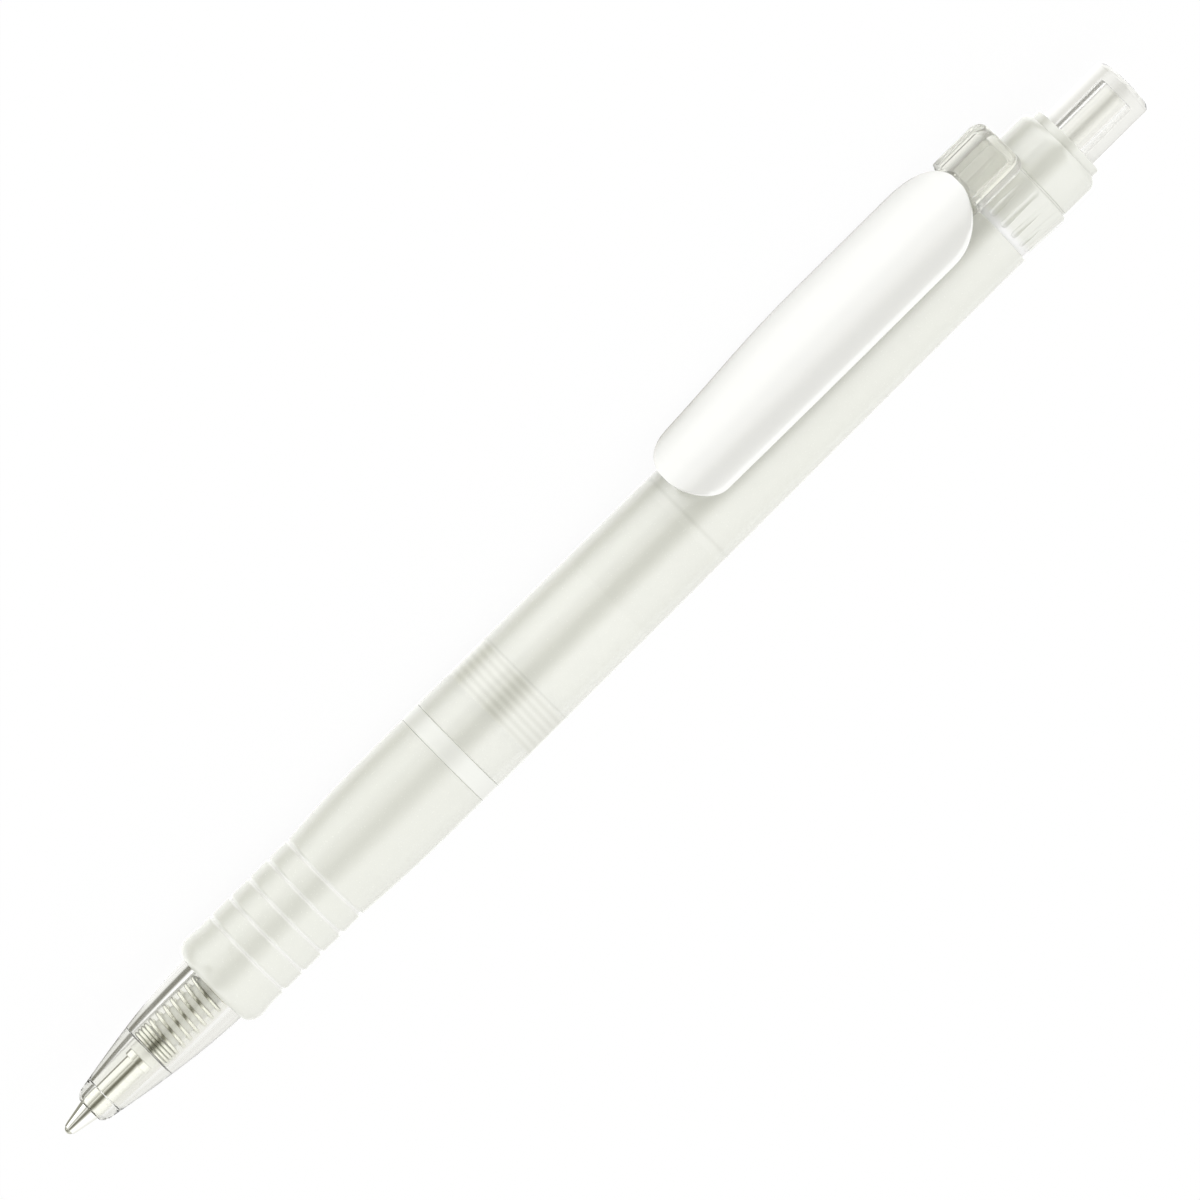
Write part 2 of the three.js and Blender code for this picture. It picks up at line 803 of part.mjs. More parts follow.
// The plate as a loft of arched sections. Spread widens it all round and lift raises its top,
// for the seat that is cut into the arm.
function plateSolid(spread, lift) {
  const acrossSteps = 10;
  const endSteps = 5;
  const middleSteps = 7;
  const stations = [];
  for (let i = 0; i <= endSteps; i++) {
    const a = degrees(THREE.MathUtils.lerp(plateTipAngle, 90, i / endSteps));
    stations.push([plateFront + plateFrontEnd * (1 - Math.cos(a)), Math.sin(a)]);
  }
  const straightFront = plateFront + plateFrontEnd;
  const straightRear = plateRear - plateRearEnd;
  for (let i = 1; i < middleSteps; i++) {
    stations.push([THREE.MathUtils.lerp(straightFront, straightRear, i / middleSteps), 1]);
  }
  for (let i = endSteps; i >= 0; i--) {
    const a = degrees(THREE.MathUtils.lerp(plateTipAngle, 90, i / endSteps));
    stations.push([plateRear - plateRearEnd * (1 - Math.cos(a)), Math.sin(a)]);
  }
  const corners = [];
  const ring = 2 * acrossSteps + 4;
  stations.forEach(([station, share], i) => {
    const half = plateHalf(station) * share;
    const round = Math.min(plateEdgeRound, half / 3);
    const isEnd = i === 0 || i === stations.length - 1;
    const towardsEnd = i === 0 ? -spread : i === stations.length - 1 ? spread : 0;
    const x = along(station + towardsEnd);
    const height = (y) => plateTop(station, Math.min(Math.abs(y), half));
    const top = (y) => height(y) + lift - (isEnd ? round : 0);
    const under = (y) => height(y) - plateWall - spread;
    for (let k = 0; k <= acrossSteps; k++) {
      const y = THREE.MathUtils.lerp(-1, 1, k / acrossSteps) * (half - round + spread);
      corners.push(new THREE.Vector3(x, y, top(y)));
    }
    corners.push(new THREE.Vector3(x, half + spread, top(half) - (isEnd ? 0 : round)));
    for (let k = acrossSteps; k >= 0; k--) {
      const y = THREE.MathUtils.lerp(-1, 1, k / acrossSteps) * (half + spread);
      corners.push(new THREE.Vector3(x, y, under(y)));
    }
    corners.push(new THREE.Vector3(x, -half - spread, top(half) - (isEnd ? 0 : round)));
  });
  const index = [];
  for (let i = 0; i < stations.length - 1; i++) {
    for (let k = 0; k < ring; k++) {
      const a = i * ring + k;
      const b = i * ring + ((k + 1) % ring);
      index.push(a, b, a + ring, b, b + ring, a + ring);
    }
  }
  const under = (k) => 2 * acrossSteps + 2 - k;
  for (const [first, turned] of [
    [0, true],
    [(stations.length - 1) * ring, false],
  ]) {
    const face = (a, b, c) =>
      turned ? index.push(first + a, first + c, first + b) : index.push(first + a, first + b, first + c);
    for (let k = 0; k < acrossSteps; k++) {
      face(k, k + 1, under(k));
      face(k + 1, under(k + 1), under(k));
    }
    face(acrossSteps, acrossSteps + 1, under(acrossSteps));
    face(0, under(0), ring - 1);
  }
  const geometry = new THREE.BufferGeometry().setFromPoints(corners);
  geometry.setIndex(index);
  return solidFrom(geometry);
}

function roundedRectangle(length, width, corner) {
  const shape = new THREE.Shape();
  const [x, y] = [length / 2, width / 2];
  shape.moveTo(-x + corner, -y);
  shape.lineTo(x - corner, -y);
  shape.absarc(x - corner, -y + corner, corner, -Math.PI / 2, 0);
  shape.lineTo(x, y - corner);
  shape.absarc(x - corner, y - corner, corner, 0, Math.PI / 2);
  shape.lineTo(-x + corner, y);
  shape.absarc(-x + corner, y - corner, corner, Math.PI / 2, Math.PI);
  shape.lineTo(-x, -y + corner);
  shape.absarc(-x + corner, -y + corner, corner, Math.PI, 1.5 * Math.PI);
  return shape;
}

// A block with rounded corners between two stations and two heights, in clip coordinates.
function block(from, to, half, bottom, top, corner, round) {
  const shape = roundedRectangle(to - from - 2 * round, 2 * (half - round), corner);
  const geometry = new THREE.ExtrudeGeometry(shape, {
    depth: top - bottom - 2 * round,
    curveSegments: 4,
    bevelEnabled: round > 0,
    bevelThickness: round,
    bevelSize: round,
    bevelSegments: 3,
  });
  return solidFrom(geometry.translate(along((from + to) / 2), 0, bottom + round));
}

function clip() {
  const footFront = plateFront + footStart;
  const footRear = footFront + footLength;
  const footBottom = barrelRadiusAt(footFront) + slideGap;
  const footTop = plateTop(footFront, footHalf) - plateWall / 2;
  const foot = block(
    footFront,
    footRear,
    footHalf,
    footBottom,
    footTop,
    footCorner,
    footRound,
  );
  const plate = plateSolid(0, 0).add(foot);
  addPiece("clip_plate", plate.transform(clipToPen.elements), whitePlastic);

  const tongueRear = armFront + armCorner + armRound;
  const tongueFront = armFront - tongueLength;
  const tongueTop = plateTop(armFront, tongueHalf) - plateWall - seatGap;
  const tongueBottom = tongueTop - tongueThickness;
  const webRear = collarFront + collarLength - seatGap;
  const panelRear = armRear - panelInset;
  const panelFront = panelRear - panelLength;
  const arm = block(armFront, armRear, armHalf, armBottom, armTop, armCorner, armRound)
    .add(block(tongueFront, tongueRear, tongueHalf, tongueBottom, tongueTop, tongueCorner, 0))
    .add(
      block(
        webRear - webLength,
        webRear,
        webHalf,
        collarBulgeRadius + seatGap,
        (armBottom + armTop) / 2,
        webCorner,
        0,
      ),
    )
    .subtract(
      block(
        panelFront,
        panelRear,
        panelHalf,
        armTop - panelDepth,
        armTop + overcut,
        panelCorner,
        0,
      ),
    )
    .subtract(plateSolid(seatGap, armTop - armBottom));
  addPiece("clip_arm", arm.transform(clipToPen.elements), clearPlastic);
}

pen.name = "ballpoint_pen";
writingTip();
refill();
frontBarrel();
gripSleeve();
coupler();
upperBarrel();
clipCollar();
endCap();
guideTube();
pushButton();
camRotor();
spring();
clip();

// The origin is at the middle of the pen's length and width, on the table.
const box = new THREE.Box3().setFromObject(pen);
const middle = box.getCenter(new THREE.Vector3());
pen.position.set(-middle.x, -middle.y, -box.min.z);

export default pen;
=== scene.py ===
import math

import bmesh
import bpy
from mathutils import Matrix, Vector


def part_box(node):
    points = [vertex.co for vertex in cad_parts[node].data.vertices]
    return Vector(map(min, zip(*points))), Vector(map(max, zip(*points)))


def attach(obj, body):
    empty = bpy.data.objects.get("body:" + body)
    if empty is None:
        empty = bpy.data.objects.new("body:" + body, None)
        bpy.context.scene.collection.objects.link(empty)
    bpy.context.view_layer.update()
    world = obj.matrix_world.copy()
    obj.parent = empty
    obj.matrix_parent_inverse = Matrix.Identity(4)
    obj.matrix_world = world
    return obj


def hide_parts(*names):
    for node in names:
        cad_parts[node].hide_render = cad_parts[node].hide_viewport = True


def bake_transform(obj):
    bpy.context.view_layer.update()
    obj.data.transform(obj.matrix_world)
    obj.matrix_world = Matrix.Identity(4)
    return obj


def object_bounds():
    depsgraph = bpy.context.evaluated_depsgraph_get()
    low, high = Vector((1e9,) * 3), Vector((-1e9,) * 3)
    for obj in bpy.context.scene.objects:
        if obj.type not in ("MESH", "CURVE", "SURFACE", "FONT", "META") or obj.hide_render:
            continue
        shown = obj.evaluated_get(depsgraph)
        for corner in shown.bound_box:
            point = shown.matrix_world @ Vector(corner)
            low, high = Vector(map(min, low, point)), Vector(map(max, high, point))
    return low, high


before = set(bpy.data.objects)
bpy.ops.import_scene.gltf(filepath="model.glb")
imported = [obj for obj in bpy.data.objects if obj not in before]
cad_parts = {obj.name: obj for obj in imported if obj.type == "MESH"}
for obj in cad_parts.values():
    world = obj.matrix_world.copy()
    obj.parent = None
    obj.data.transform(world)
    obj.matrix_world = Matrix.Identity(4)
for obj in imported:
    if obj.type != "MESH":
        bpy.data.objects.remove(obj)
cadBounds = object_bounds()
print("frame loaded:", len(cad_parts), "nodes")

# Sizes are in millimetres, and a station is a distance back from the front of the writing ball.
mm = 0.001
weldDistance = 0.0005 * mm
nearby = 0.1 * mm  # how far off a plane a corner is still picked
edgeSoftness = 0.1  # how an ordinary moulded or turned edge is rounded
overcut = 1  # how far a cutter stands out of what it cuts
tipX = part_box("writing_ball")[1][0]
barrelLow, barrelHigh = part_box("upper_barrel")
axisY = (barrelLow[1] + barrelHigh[1]) / 2
axisZ = (barrelLow[2] + barrelHigh[2]) / 2


def front(node):
    return (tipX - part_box(node)[1][0]) / mm


def rear(node):
    return (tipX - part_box(node)[0][0]) / mm


def ends(node):
    return front(node), rear(node)


def radiusOf(node):
    low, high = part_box(node)
    return (high[2] - low[2]) / 2 / mm


def along(station):
    return tipX - station * mm


def mix(low, high, share):
    return low + (high - low) * share


# Picking and shaping

def deselect():
    bpy.ops.object.select_all(action="DESELECT")


def choose(piece):
    deselect()
    piece.select_set(True)
    bpy.context.view_layer.objects.active = piece


def startEdit(piece):
    choose(piece)
    bpy.ops.object.mode_set(mode="EDIT")
    bpy.ops.mesh.select_mode(type="VERT")
    bpy.ops.mesh.select_all(action="SELECT")


def endEdit():
    bpy.ops.object.mode_set(mode="OBJECT")


def named(name):
    piece = bpy.context.active_object
    piece.name = name
    piece.data.name = name
    return piece


def pick(piece, kind, test):
    bpy.ops.mesh.select_mode(type=kind[:-1].upper())
    bpy.ops.mesh.select_all(action="DESELECT")
    mesh = bmesh.from_edit_mesh(piece.data)
    for item in getattr(mesh, kind):
        item.select_set(bool(test(item)))
    bmesh.update_edit_mesh(piece.data)


def applyModifier(piece, kind, **settings):
    choose(piece)
    modifier = piece.modifiers.new(kind.lower(), kind)
    for setting, value in settings.items():
        setattr(modifier, setting, value)
    bpy.ops.object.modifier_apply(modifier=modifier.name)


def combine(piece, other, operation):
    applyModifier(piece, "BOOLEAN", object=other, operation=operation, solver="EXACT")
    bpy.data.objects.remove(other)


def joined(pieces):
    deselect()
    for piece in pieces:
        piece.select_set(True)
    bpy.context.view_layer.objects.active = pieces[0]
    bpy.ops.object.join()
    return pieces[0]


def settle(piece, turn=0.0, y=0.0, z=0.0):
    choose(piece)
    piece.rotation_euler = (turn, 0, 0)
    piece.location = (0, y, z)
    bpy.ops.object.transform_apply(location=True, rotation=True, scale=True)


def ringOf(piece, count):
    pieces = [piece]
    for i in range(1, count):
        choose(piece)
        bpy.ops.object.duplicate()
        copy = bpy.context.active_object
        settle(copy, turn=2 * math.pi * i / count)
        pieces.append(copy)
    return joined(pieces)


# A profile point is (station, radius), or (station, radius, softness) where its corner is rounded over
# that length.
def softened(profile, steps=4):
    points = []
    for i, (station, radius, *softness) in enumerate(profile):
        here = Vector((station, radius))
        if not softness:
            points.append(here)
            continue
        before = Vector(profile[i - 1][:2]) - here
        after = Vector(profile[(i + 1) % len(profile)][:2]) - here
        start = here + before.normalized() * softness[0]
        end = here + after.normalized() * softness[0]
        for k in range(steps + 1):
            t = k / steps
            points.append(start * (1 - t) ** 2 + here * 2 * t * (1 - t) + end * t * t)
    return points


# Closes a profile on itself and spins it round the X axis.
def turned(name, profile, sides=128):
    points = [Vector((along(p.x), 0, p.y * mm)) for p in softened(profile)]
    deselect()
    bpy.ops.mesh.primitive_plane_add(size=mm)
    piece = named(name)
    startEdit(piece)
    bpy.ops.mesh.merge(type="CENTER")
    bpy.ops.transform.translate(value=points[0])
    here = points[0]
    for point in points[1:] + points[:1]:
        bpy.ops.mesh.extrude_region_move(TRANSFORM_OT_translate={"value": point - here})
        here = point
    bpy.ops.mesh.select_all(action="SELECT")
    bpy.ops.mesh.spin(
        steps=sides, angle=2 * math.pi, use_auto_merge=True, center=(0, 0, 0), axis=(1, 0, 0)
    )
    bpy.ops.mesh.select_all(action="SELECT")
    bpy.ops.mesh.remove_doubles(threshold=weldDistance)
    bpy.ops.mesh.normals_make_consistent(inside=False)
    endEdit()
    return piece


# Winds a round or pointed section into a helix round the X axis, going rearwards.
def wound(name, station, radius, thickness, corners, turns, pitch, stepsPerTurn):
    deselect()
    bpy.ops.mesh.primitive_circle_add(
        vertices=corners,
        radius=thickness / 2 * mm,
        location=(along(station), 0, radius * mm),
        rotation=(math.pi / 2, 0, 0),
    )
    piece = named(name)
    bpy.ops.object.transform_apply(location=True, rotation=True)
    applyModifier(
        piece,
        "SCREW",
        axis="X",
        iterations=turns,
        steps=stepsPerTurn,
        render_steps=stepsPerTurn,
        screw_offset=-pitch * mm,
        use_normal_calculate=True,
    )
    return piece


def closeEnds(piece):
    startEdit(piece)
    bpy.ops.mesh.remove_doubles(threshold=weldDistance)
    mesh = bmesh.from_edit_mesh(piece.data)
    xs = [vertex.co.x for vertex in mesh.verts]
    middle = (min(xs) + max(xs)) / 2
    for inFront in (True, False):
        pick(piece, "edges", lambda edge: edge.is_boundary and (edge.verts[0].co.x > middle) == inFront)
        bpy.ops.mesh.edge_face_add()
    bpy.ops.mesh.select_all(action="SELECT")
    bpy.ops.mesh.normals_make_consistent(inside=False)
    endEdit()


# A box between two stations and two heights over the X axis, with rounded corners and softened rims.
def block(name, start, end, half, bottom, top, corner=0.0, soft=0.0):
    deselect()
    bpy.ops.mesh.primitive_cube_add(size=1)
    piece = named(name)
    startEdit(piece)
    bpy.ops.transform.resize(value=((end - start) * mm, 2 * half * mm, (top - bottom) * mm))
    bpy.ops.transform.translate(value=(along((start + end) / 2), 0, (top + bottom) / 2 * mm))
    if corner:
        pick(piece, "edges", lambda edge: abs(edge.verts[0].co.z - edge.verts[1].co.z) > nearby)
        bpy.ops.mesh.bevel(offset=corner * mm, segments=8, affect="EDGES")
    if soft:
        pick(piece, "edges", lambda edge: abs(edge.calc_face_angle(0)) > math.radians(60))
        bpy.ops.mesh.bevel(offset=soft * mm, segments=5, affect="EDGES")
    endEdit()
    return piece


# Materials

# A socket, on which maths is written with Python's own operators
class Wire:
    def __init__(self, sheet, socket):
        self.sheet = sheet
        self.socket = socket

    def __add__(self, other):
        return self.sheet.maths("ADD", self, other)

    def __radd__(self, other):
        return self.sheet.maths("ADD", other, self)

    def __sub__(self, other):
        return self.sheet.maths("SUBTRACT", self, other)

    def __rsub__(self, other):
        return self.sheet.maths("SUBTRACT", other, self)

    def __mul__(self, other):
        return self.sheet.maths("MULTIPLY", self, other)

    def __rmul__(self, other):
        return self.sheet.maths("MULTIPLY", other, self)

    def atLeast(self, other):
        return self.sheet.maths("MAXIMUM", self, other)


class Sheet:
    def __init__(self, tree):
        self.tree = tree

    def feed(self, socket, value):
        if isinstance(value, Wire):
            self.tree.links.new(value.socket, socket)
        else:
            socket.default_value = value

    def node(self, kind, settings=None, inputs=None, output=0):
        made = self.tree.nodes.new(kind)
        for setting, value in (settings or {}).items():
            if setting == "stops":
                ramp = made.color_ramp
                while len(ramp.elements) < len(value):
                    ramp.elements.new(0.5)
                for element, (place, colour) in zip(ramp.elements, value):
                    element.position = place
                    element.color = colour
            else:
                setattr(made, setting, value)
        for socket, value in (inputs or {}).items():
            self.feed(made.inputs[socket], value)
        return Wire(self, made.outputs[output])

    def maths(self, operation, first, second=0):
        return self.node("ShaderNodeMath", {"operation": operation}, {0: first, 1: second})

    def axes(self, place):
        parts = self.node("ShaderNodeSeparateXYZ", None, {0: place}).socket.node
        return [Wire(self, parts.outputs[axis]) for axis in "XYZ"]

    def place(self):
        return self.node("ShaderNodeTexCoord", output="Object")

    def noise(self, size, detail=2.0, stretch=(1, 1, 1)):
        placed = self.node("ShaderNodeMapping", None, {"Vector": self.place(), "Scale": stretch})
        return self.node(
            "ShaderNodeTexNoise", None, {"Vector": placed, "Scale": 1 / (size * mm), "Detail": detail}
        )

    def blend(self, share, first, second):
        made = self.tree.nodes.new("ShaderNodeMix")
        made.data_type = "RGBA"
        self.feed(made.inputs["Factor"], share)
        colours = [socket for socket in made.inputs if socket.type == "RGBA"]
        self.feed(colours[0], first)
        self.feed(colours[1], second)
        result = [socket for socket in made.outputs if socket.type == "RGBA"][0]
        return Wire(self, result)

    def bump(self, height, depth):
        return self.node("ShaderNodeBump", None, {"Height": height, "Distance": depth * mm}, "Normal")


class Finish(Sheet):
    def __init__(self, name, sockets):
        self.material = bpy.data.materials.new(name)
        self.material.use_nodes = True
        super().__init__(self.material.node_tree)
        self.shader = self.tree.nodes["Principled BSDF"]
        for socket, value in sockets.items():
            self.drive(socket, value)

    def drive(self, socket, value):
        self.feed(self.shader.inputs[socket], value)


def colour(red, green, blue):
    def linear(value):
        value /= 255
        return value / 12.92 if value <= 0.04045 else ((value + 0.055) / 1.055) ** 2.4

    return (linear(red), linear(green), linear(blue), 1)


# A ramp of shares over stations.
def banded(sheet, station, bands):
    start, length = bands[0][0], bands[-1][0] - bands[0][0]
    stops = [((at - start) / length, (share, share, share, 1)) for at, share in bands]
    return sheet.node("ShaderNodeValToRGB", {"stops": stops}, {0: (station - start) * (1 / length)})


# Station in millimetres, and the two distances from the pen's axis in metres.
def penAxes(sheet):
    x, y, z = sheet.axes(sheet.place())
    return (tipX - x) * (1 / mm), y - axisY, z - axisZ


# What the frosted finishes share: a cloudy colour, and a fine grain in the roughness
def frostedStart(name, settings):
    finish = Finish(name, {
        "IOR": 1.5,
        "Specular IOR Level": settings["gloss"],
        "Coat Roughness": settings["coatRoughness"],
        "Coat IOR": settings["coatIndex"],
    })
    cloud = finish.noise(settings["cloudSize"], detail=3, stretch=settings["flow"])
    grain = finish.noise(settings["grainSize"])
    finish.drive("Roughness", settings["roughness"] + (grain - 0.5) * settings["roughnessSpread"])
    finish.drive("Coat Weight", settings["coat"] - cloud * settings["coatSpread"])
    return finish, grain, finish.blend(cloud, settings["pale"], settings["deep"])


# Frosted plastic, with painted highlights: whiter bands at some stations where the settings list them
def frostedFinish(name, settings):
    finish, grain, plain = frostedStart(name, settings)
    if "paintedHighlight" in settings:
        # The whiter bands are a painted highlight in the base colour.
        paintedHighlight = banded(finish, penAxes(finish)[0], settings["paintedHighlight"])
        plain = finish.blend(paintedHighlight, plain, settings["paintedHighlightColour"])
    finish.drive("Base Color", plain)
    finish.drive("Alpha", settings["cover"])
    finish.drive("Normal", finish.bump(grain, settings["grainDepth"]))
    return finish.material


frosted = {
    "pale": colour(247, 248, 239),
    "deep": colour(241, 242, 231),
    "cover": 0.55,
    "gloss": 1.0,
    "roughness": 0.26,
    "roughnessSpread": 0.08,
    "coat": 1.0,
    "coatSpread": 0.25,
    "coatRoughness": 0.2,
    "coatIndex": 2.4,
    "cloudSize": 14,
    "flow": (0.25, 1, 1),
    "grainSize": 0.16,
    "grainDepth": 0.004,
}
glossyFrosted = {
    **frosted,
    "pale": colour(241, 242, 233),
    "deep": colour(236, 237, 226),
    "cover": 0.84,
    "roughness": 0.12,
    "coatRoughness": 0.06,
}
rearPlastic = frostedFinish("rearPlastic", glossyFrosted)
# The collar's front edge gets a painted highlight: a whiter band in its colour just behind the barrel's
# end.
collarPlastic = frostedFinish("collarPlastic", {
    **glossyFrosted,
    "coatRoughness": 0.12,
    "paintedHighlight": [(rear("upper_barrel") + length, share) for length, share in ((0, 1), (0.4, 1), (1.2, 0))],
    "paintedHighlightColour": colour(255, 255, 254),
})


# The barrel's colour carries painted shade where the coupler's thread and end and the guide tube's flange
# lie inside its wall: dark stripes and bands stand in for them showing through.
def barrelFinish(settings):
    finish, grain, plain = frostedStart("barrelPlastic", settings)
    station, y, z = penAxes(finish)
    begin, end = settings["thread"]
    fade = settings["threadFade"]
    wave = finish.maths("ARCTAN2", z, y) - (station - begin) * (2 * math.pi / threadPitch)
    ridge = finish.maths("SINE", wave) * 0.5 + 0.5
    inThread = banded(finish, station, [(begin, 0), (begin + fade, 1), (end - fade, 1), (end, 0)])
    shade = banded(finish, station, settings["rings"])
    finish.drive("Alpha", inThread * (1 - settings["cover"]) + settings["cover"])
    # dim is the share of painted shade: bands from the rings and stripes over the thread.
    dim = (1 - shade) + inThread * ((1 - ridge) * settings["ridgeShade"] + settings["threadShade"])
    finish.drive("Base Color", finish.blend(dim, plain, settings["behind"]))
    relief = grain * settings["grainDepth"] + ridge * inThread * settings["ridgeDepth"]
    finish.drive("Normal", finish.bump(relief, 1.0))
    return finish.material


threadPitch = 0.76  # of the coupler's thread, which the barrel's painted shade stripes also follow
barrelPlastic = barrelFinish({
    **frosted,
    "pale": colour(249, 250, 241),
    "deep": colour(243, 244, 233),
    "cover": 0.75,
    "coatIndex": 2.7,
    "coatRoughness": 0.16,
    # The painted shade's colour, which the rings' bands and the thread stripes blend the barrel toward.
    "behind": colour(150, 150, 132),
    "thread": (55.7, 60.5),
    "threadFade": 0.2,
    "threadShade": 0.34,
    "ridgeShade": 0.14,
    "ridgeDepth": 0.008,
    # rings lists painted shade bands: a share under 1 darkens the barrel there.
    "rings": [(59, 1), (60.5, 1), (60.65, 0.8), (60.8, 1), (71.3, 1), (71.5, 0.96), (80.9, 0.96),
              (81.1, 1), (81.7, 1), (82.0, 0.82), (82.3, 0.98), (84, 1)],
})

clipPlastic = frostedFinish("clipPlastic", {
    **frosted,
    "pale": colour(251, 251, 249),
    "deep": colour(248, 248, 243),
    "cover": 0.92,
    "coatIndex": 2.6,
    "roughness": 0.24,
})

whiteSettings = {
    **frosted,
    "pale": colour(250, 250, 246),
    "deep": colour(245, 245, 238),
    "cover": 1.0,
    "roughness": 0.3,
    "gloss": 0.5,
    "coat": 0.6,
}
whitePlastic = frostedFinish("whitePlastic", whiteSettings)
refillPlastic = frostedFinish("refillPlastic", {**whiteSettings, "deep": colour(246, 246, 239)})


# The ring and the thread's crests have one tone, and the spigot below them another.
def couplerFinish(settings):
    finish = Finish("couplerPlastic", settings["sockets"])
    y, z = penAxes(finish)[1:]
    radius = finish.maths("SQRT", y * y + z * z)
    crest = finish.node(
        "ShaderNodeMapRange",
        None,
        {"Value": radius, "From Min": settings["root"] * mm, "From Max": settings["crest"] * mm},
    )
    grain = finish.noise(settings["grainSize"])
    finish.drive("Base Color", finish.blend(crest, settings["rootColour"], settings["crestColour"]))
    finish.drive("Roughness", settings["roughness"] + grain * settings["roughnessSpread"])
    finish.drive("Normal", finish.bump(grain, settings["grainDepth"]))
    return finish.material


couplerPlastic = couplerFinish({
    "sockets": {"IOR": 1.5, "Coat Weight": 0.9, "Coat Roughness": 0.25, "Coat IOR": 2.2},
    "root": 4.3,
    "crest": 4.42,
    "rootColour": colour(234, 235, 226),
    "crestColour": colour(232, 233, 226),
    "roughness": 0.3,
    "roughnessSpread": 0.1,
    "grainSize": 0.2,
    "grainDepth": 0.003,
})


def clearFinish(name, settings):
    finish = Finish(name, {
        "IOR": 1.49,
        "Transmission Weight": settings["transmission"],
        "Coat Weight": settings["coat"],
        "Coat Roughness": settings["roughness"],
        "Coat IOR": 1.8,
    })
    flow = finish.noise(settings["flowSize"], stretch=settings["flow"])
    scuff = finish.noise(settings["scuffSize"], detail=4)
    finish.drive("Base Color", finish.blend(flow, settings["pale"], settings["deep"]))
    finish.drive("Roughness", settings["roughness"] + scuff * settings["roughnessSpread"])
    finish.drive("Normal", finish.bump(flow, settings["flowDepth"]))
    return finish.material


clear = {
    "pale": colour(252, 252, 249),
    "deep": colour(248, 248, 244),
    "transmission": 1.0,
    "coat": 0.0,
    "roughness": 0.02,
    "roughnessSpread": 0.05,
    "flowSize": 6,
    "flow": (0.3, 1, 1),
    "flowDepth": 0.01,
    "scuffSize": 0.5,
}
clearPlastic = clearFinish("clearPlastic", clear)
buttonPlastic = clearFinish("buttonPlastic", {**clear, "coat": 1.0})
armPlastic = clearFinish("armPlastic", {
    **clear,
    "pale": colour(250, 250, 245),
    "deep": colour(244, 244, 236),
    "roughness": 0.06,
    "transmission": 0.8,
})


def metalFinish(name, settings):
    finish = Finish(name, {"Metallic": 1.0})
    rings = finish.noise(settings["grainSize"], detail=1, stretch=settings["lay"])
    finish.drive("Base Color", finish.blend(rings, settings["pale"], settings["deep"]))
    finish.drive("Roughness", settings["roughness"] + rings * settings["roughnessSpread"])
    finish.drive("Normal", finish.bump(rings, settings["grainDepth"]))
    return finish.material


nickelSilver = metalFinish("nickelSilver", {
    "pale": colour(252, 252, 249),
    "deep": colour(241, 241, 233),
    "roughness": 0.06,
    "roughnessSpread": 0.06,
    "grainSize": 0.08,
    "lay": (1, 0.02, 0.02),
    "grainDepth": 0.0006,
})
plainMetal = {"roughnessSpread": 0.1, "lay": (1, 1, 1), "grainDepth": 0.001}
springSteel = metalFinish("springSteel", {
    **plainMetal,
    "pale": colour(242, 242, 236),
    "deep": colour(226, 226, 215),
    "roughness": 0.1,
    "grainSize": 0.1,
})
carbide = metalFinish("carbide", {
    **plainMetal,
    "pale": colour(208, 208, 196),
    "deep": colour(184, 184, 170),
    "roughness": 0.15,
    "grainSize": 0.03,
})


def inkFinish(settings):
    finish = Finish("ink", {"IOR": 1.4})
    streak = finish.noise(settings["streakSize"])
    finish.drive("Base Color", finish.blend(streak, settings["pale"], settings["deep"]))
    finish.drive("Roughness", settings["roughness"] + streak * settings["roughnessSpread"])
    return finish.material


ink = inkFinish({
    "pale": colour(40, 60, 130),
    "deep": colour(20, 30, 90),
    "streakSize": 1.5,
    "roughness": 0.2,
    "roughnessSpread": 0.1,
})
print("materials made")


def dress(piece, material, turn=0.0, smooth=35):
    settle(piece, turn, axisY, axisZ)
    piece.data.materials.clear()
    piece.data.materials.append(material)
    bpy.ops.object.shade_smooth_by_angle(angle=math.radians(smooth))
    print("piece:", piece.name, len(piece.data.polygons), "faces")


def finishPiece(piece, body, nodes, material, turn=0.0):
    dress(piece, material, turn)
    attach(piece, body)
    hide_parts(*nodes)


# Nose and inner front barrel, one clear moulding
nose = {
    "faceRadius": 1.45,
    "edgeRadius": 1.87,
    "edgeLength": 0.5,
    "stepLength": 1.97,
    "ringRadius": 2.15,
    "ringLine": 0.05,
    "lineStart": 0.06,
    "lineEnd": 0.08,
    "lineRise": 0.02,
    "rearRadius": 3.87,
    "bulge": 1.5,
    "bodyRadius": 3.72,
    "tunnelRadius": 1.25,
    "tunnelLength": 1.97,
    "funnelLength": 0.15,
    "taperFront": 1.72,
    "taperRear": 1.95,
    "shoulder": 7.9,
    "chamberRadius": 2.36,
    "socketRadius": 3.11,
    "socketLength": 5.75,
    "curveSteps": 22,
}


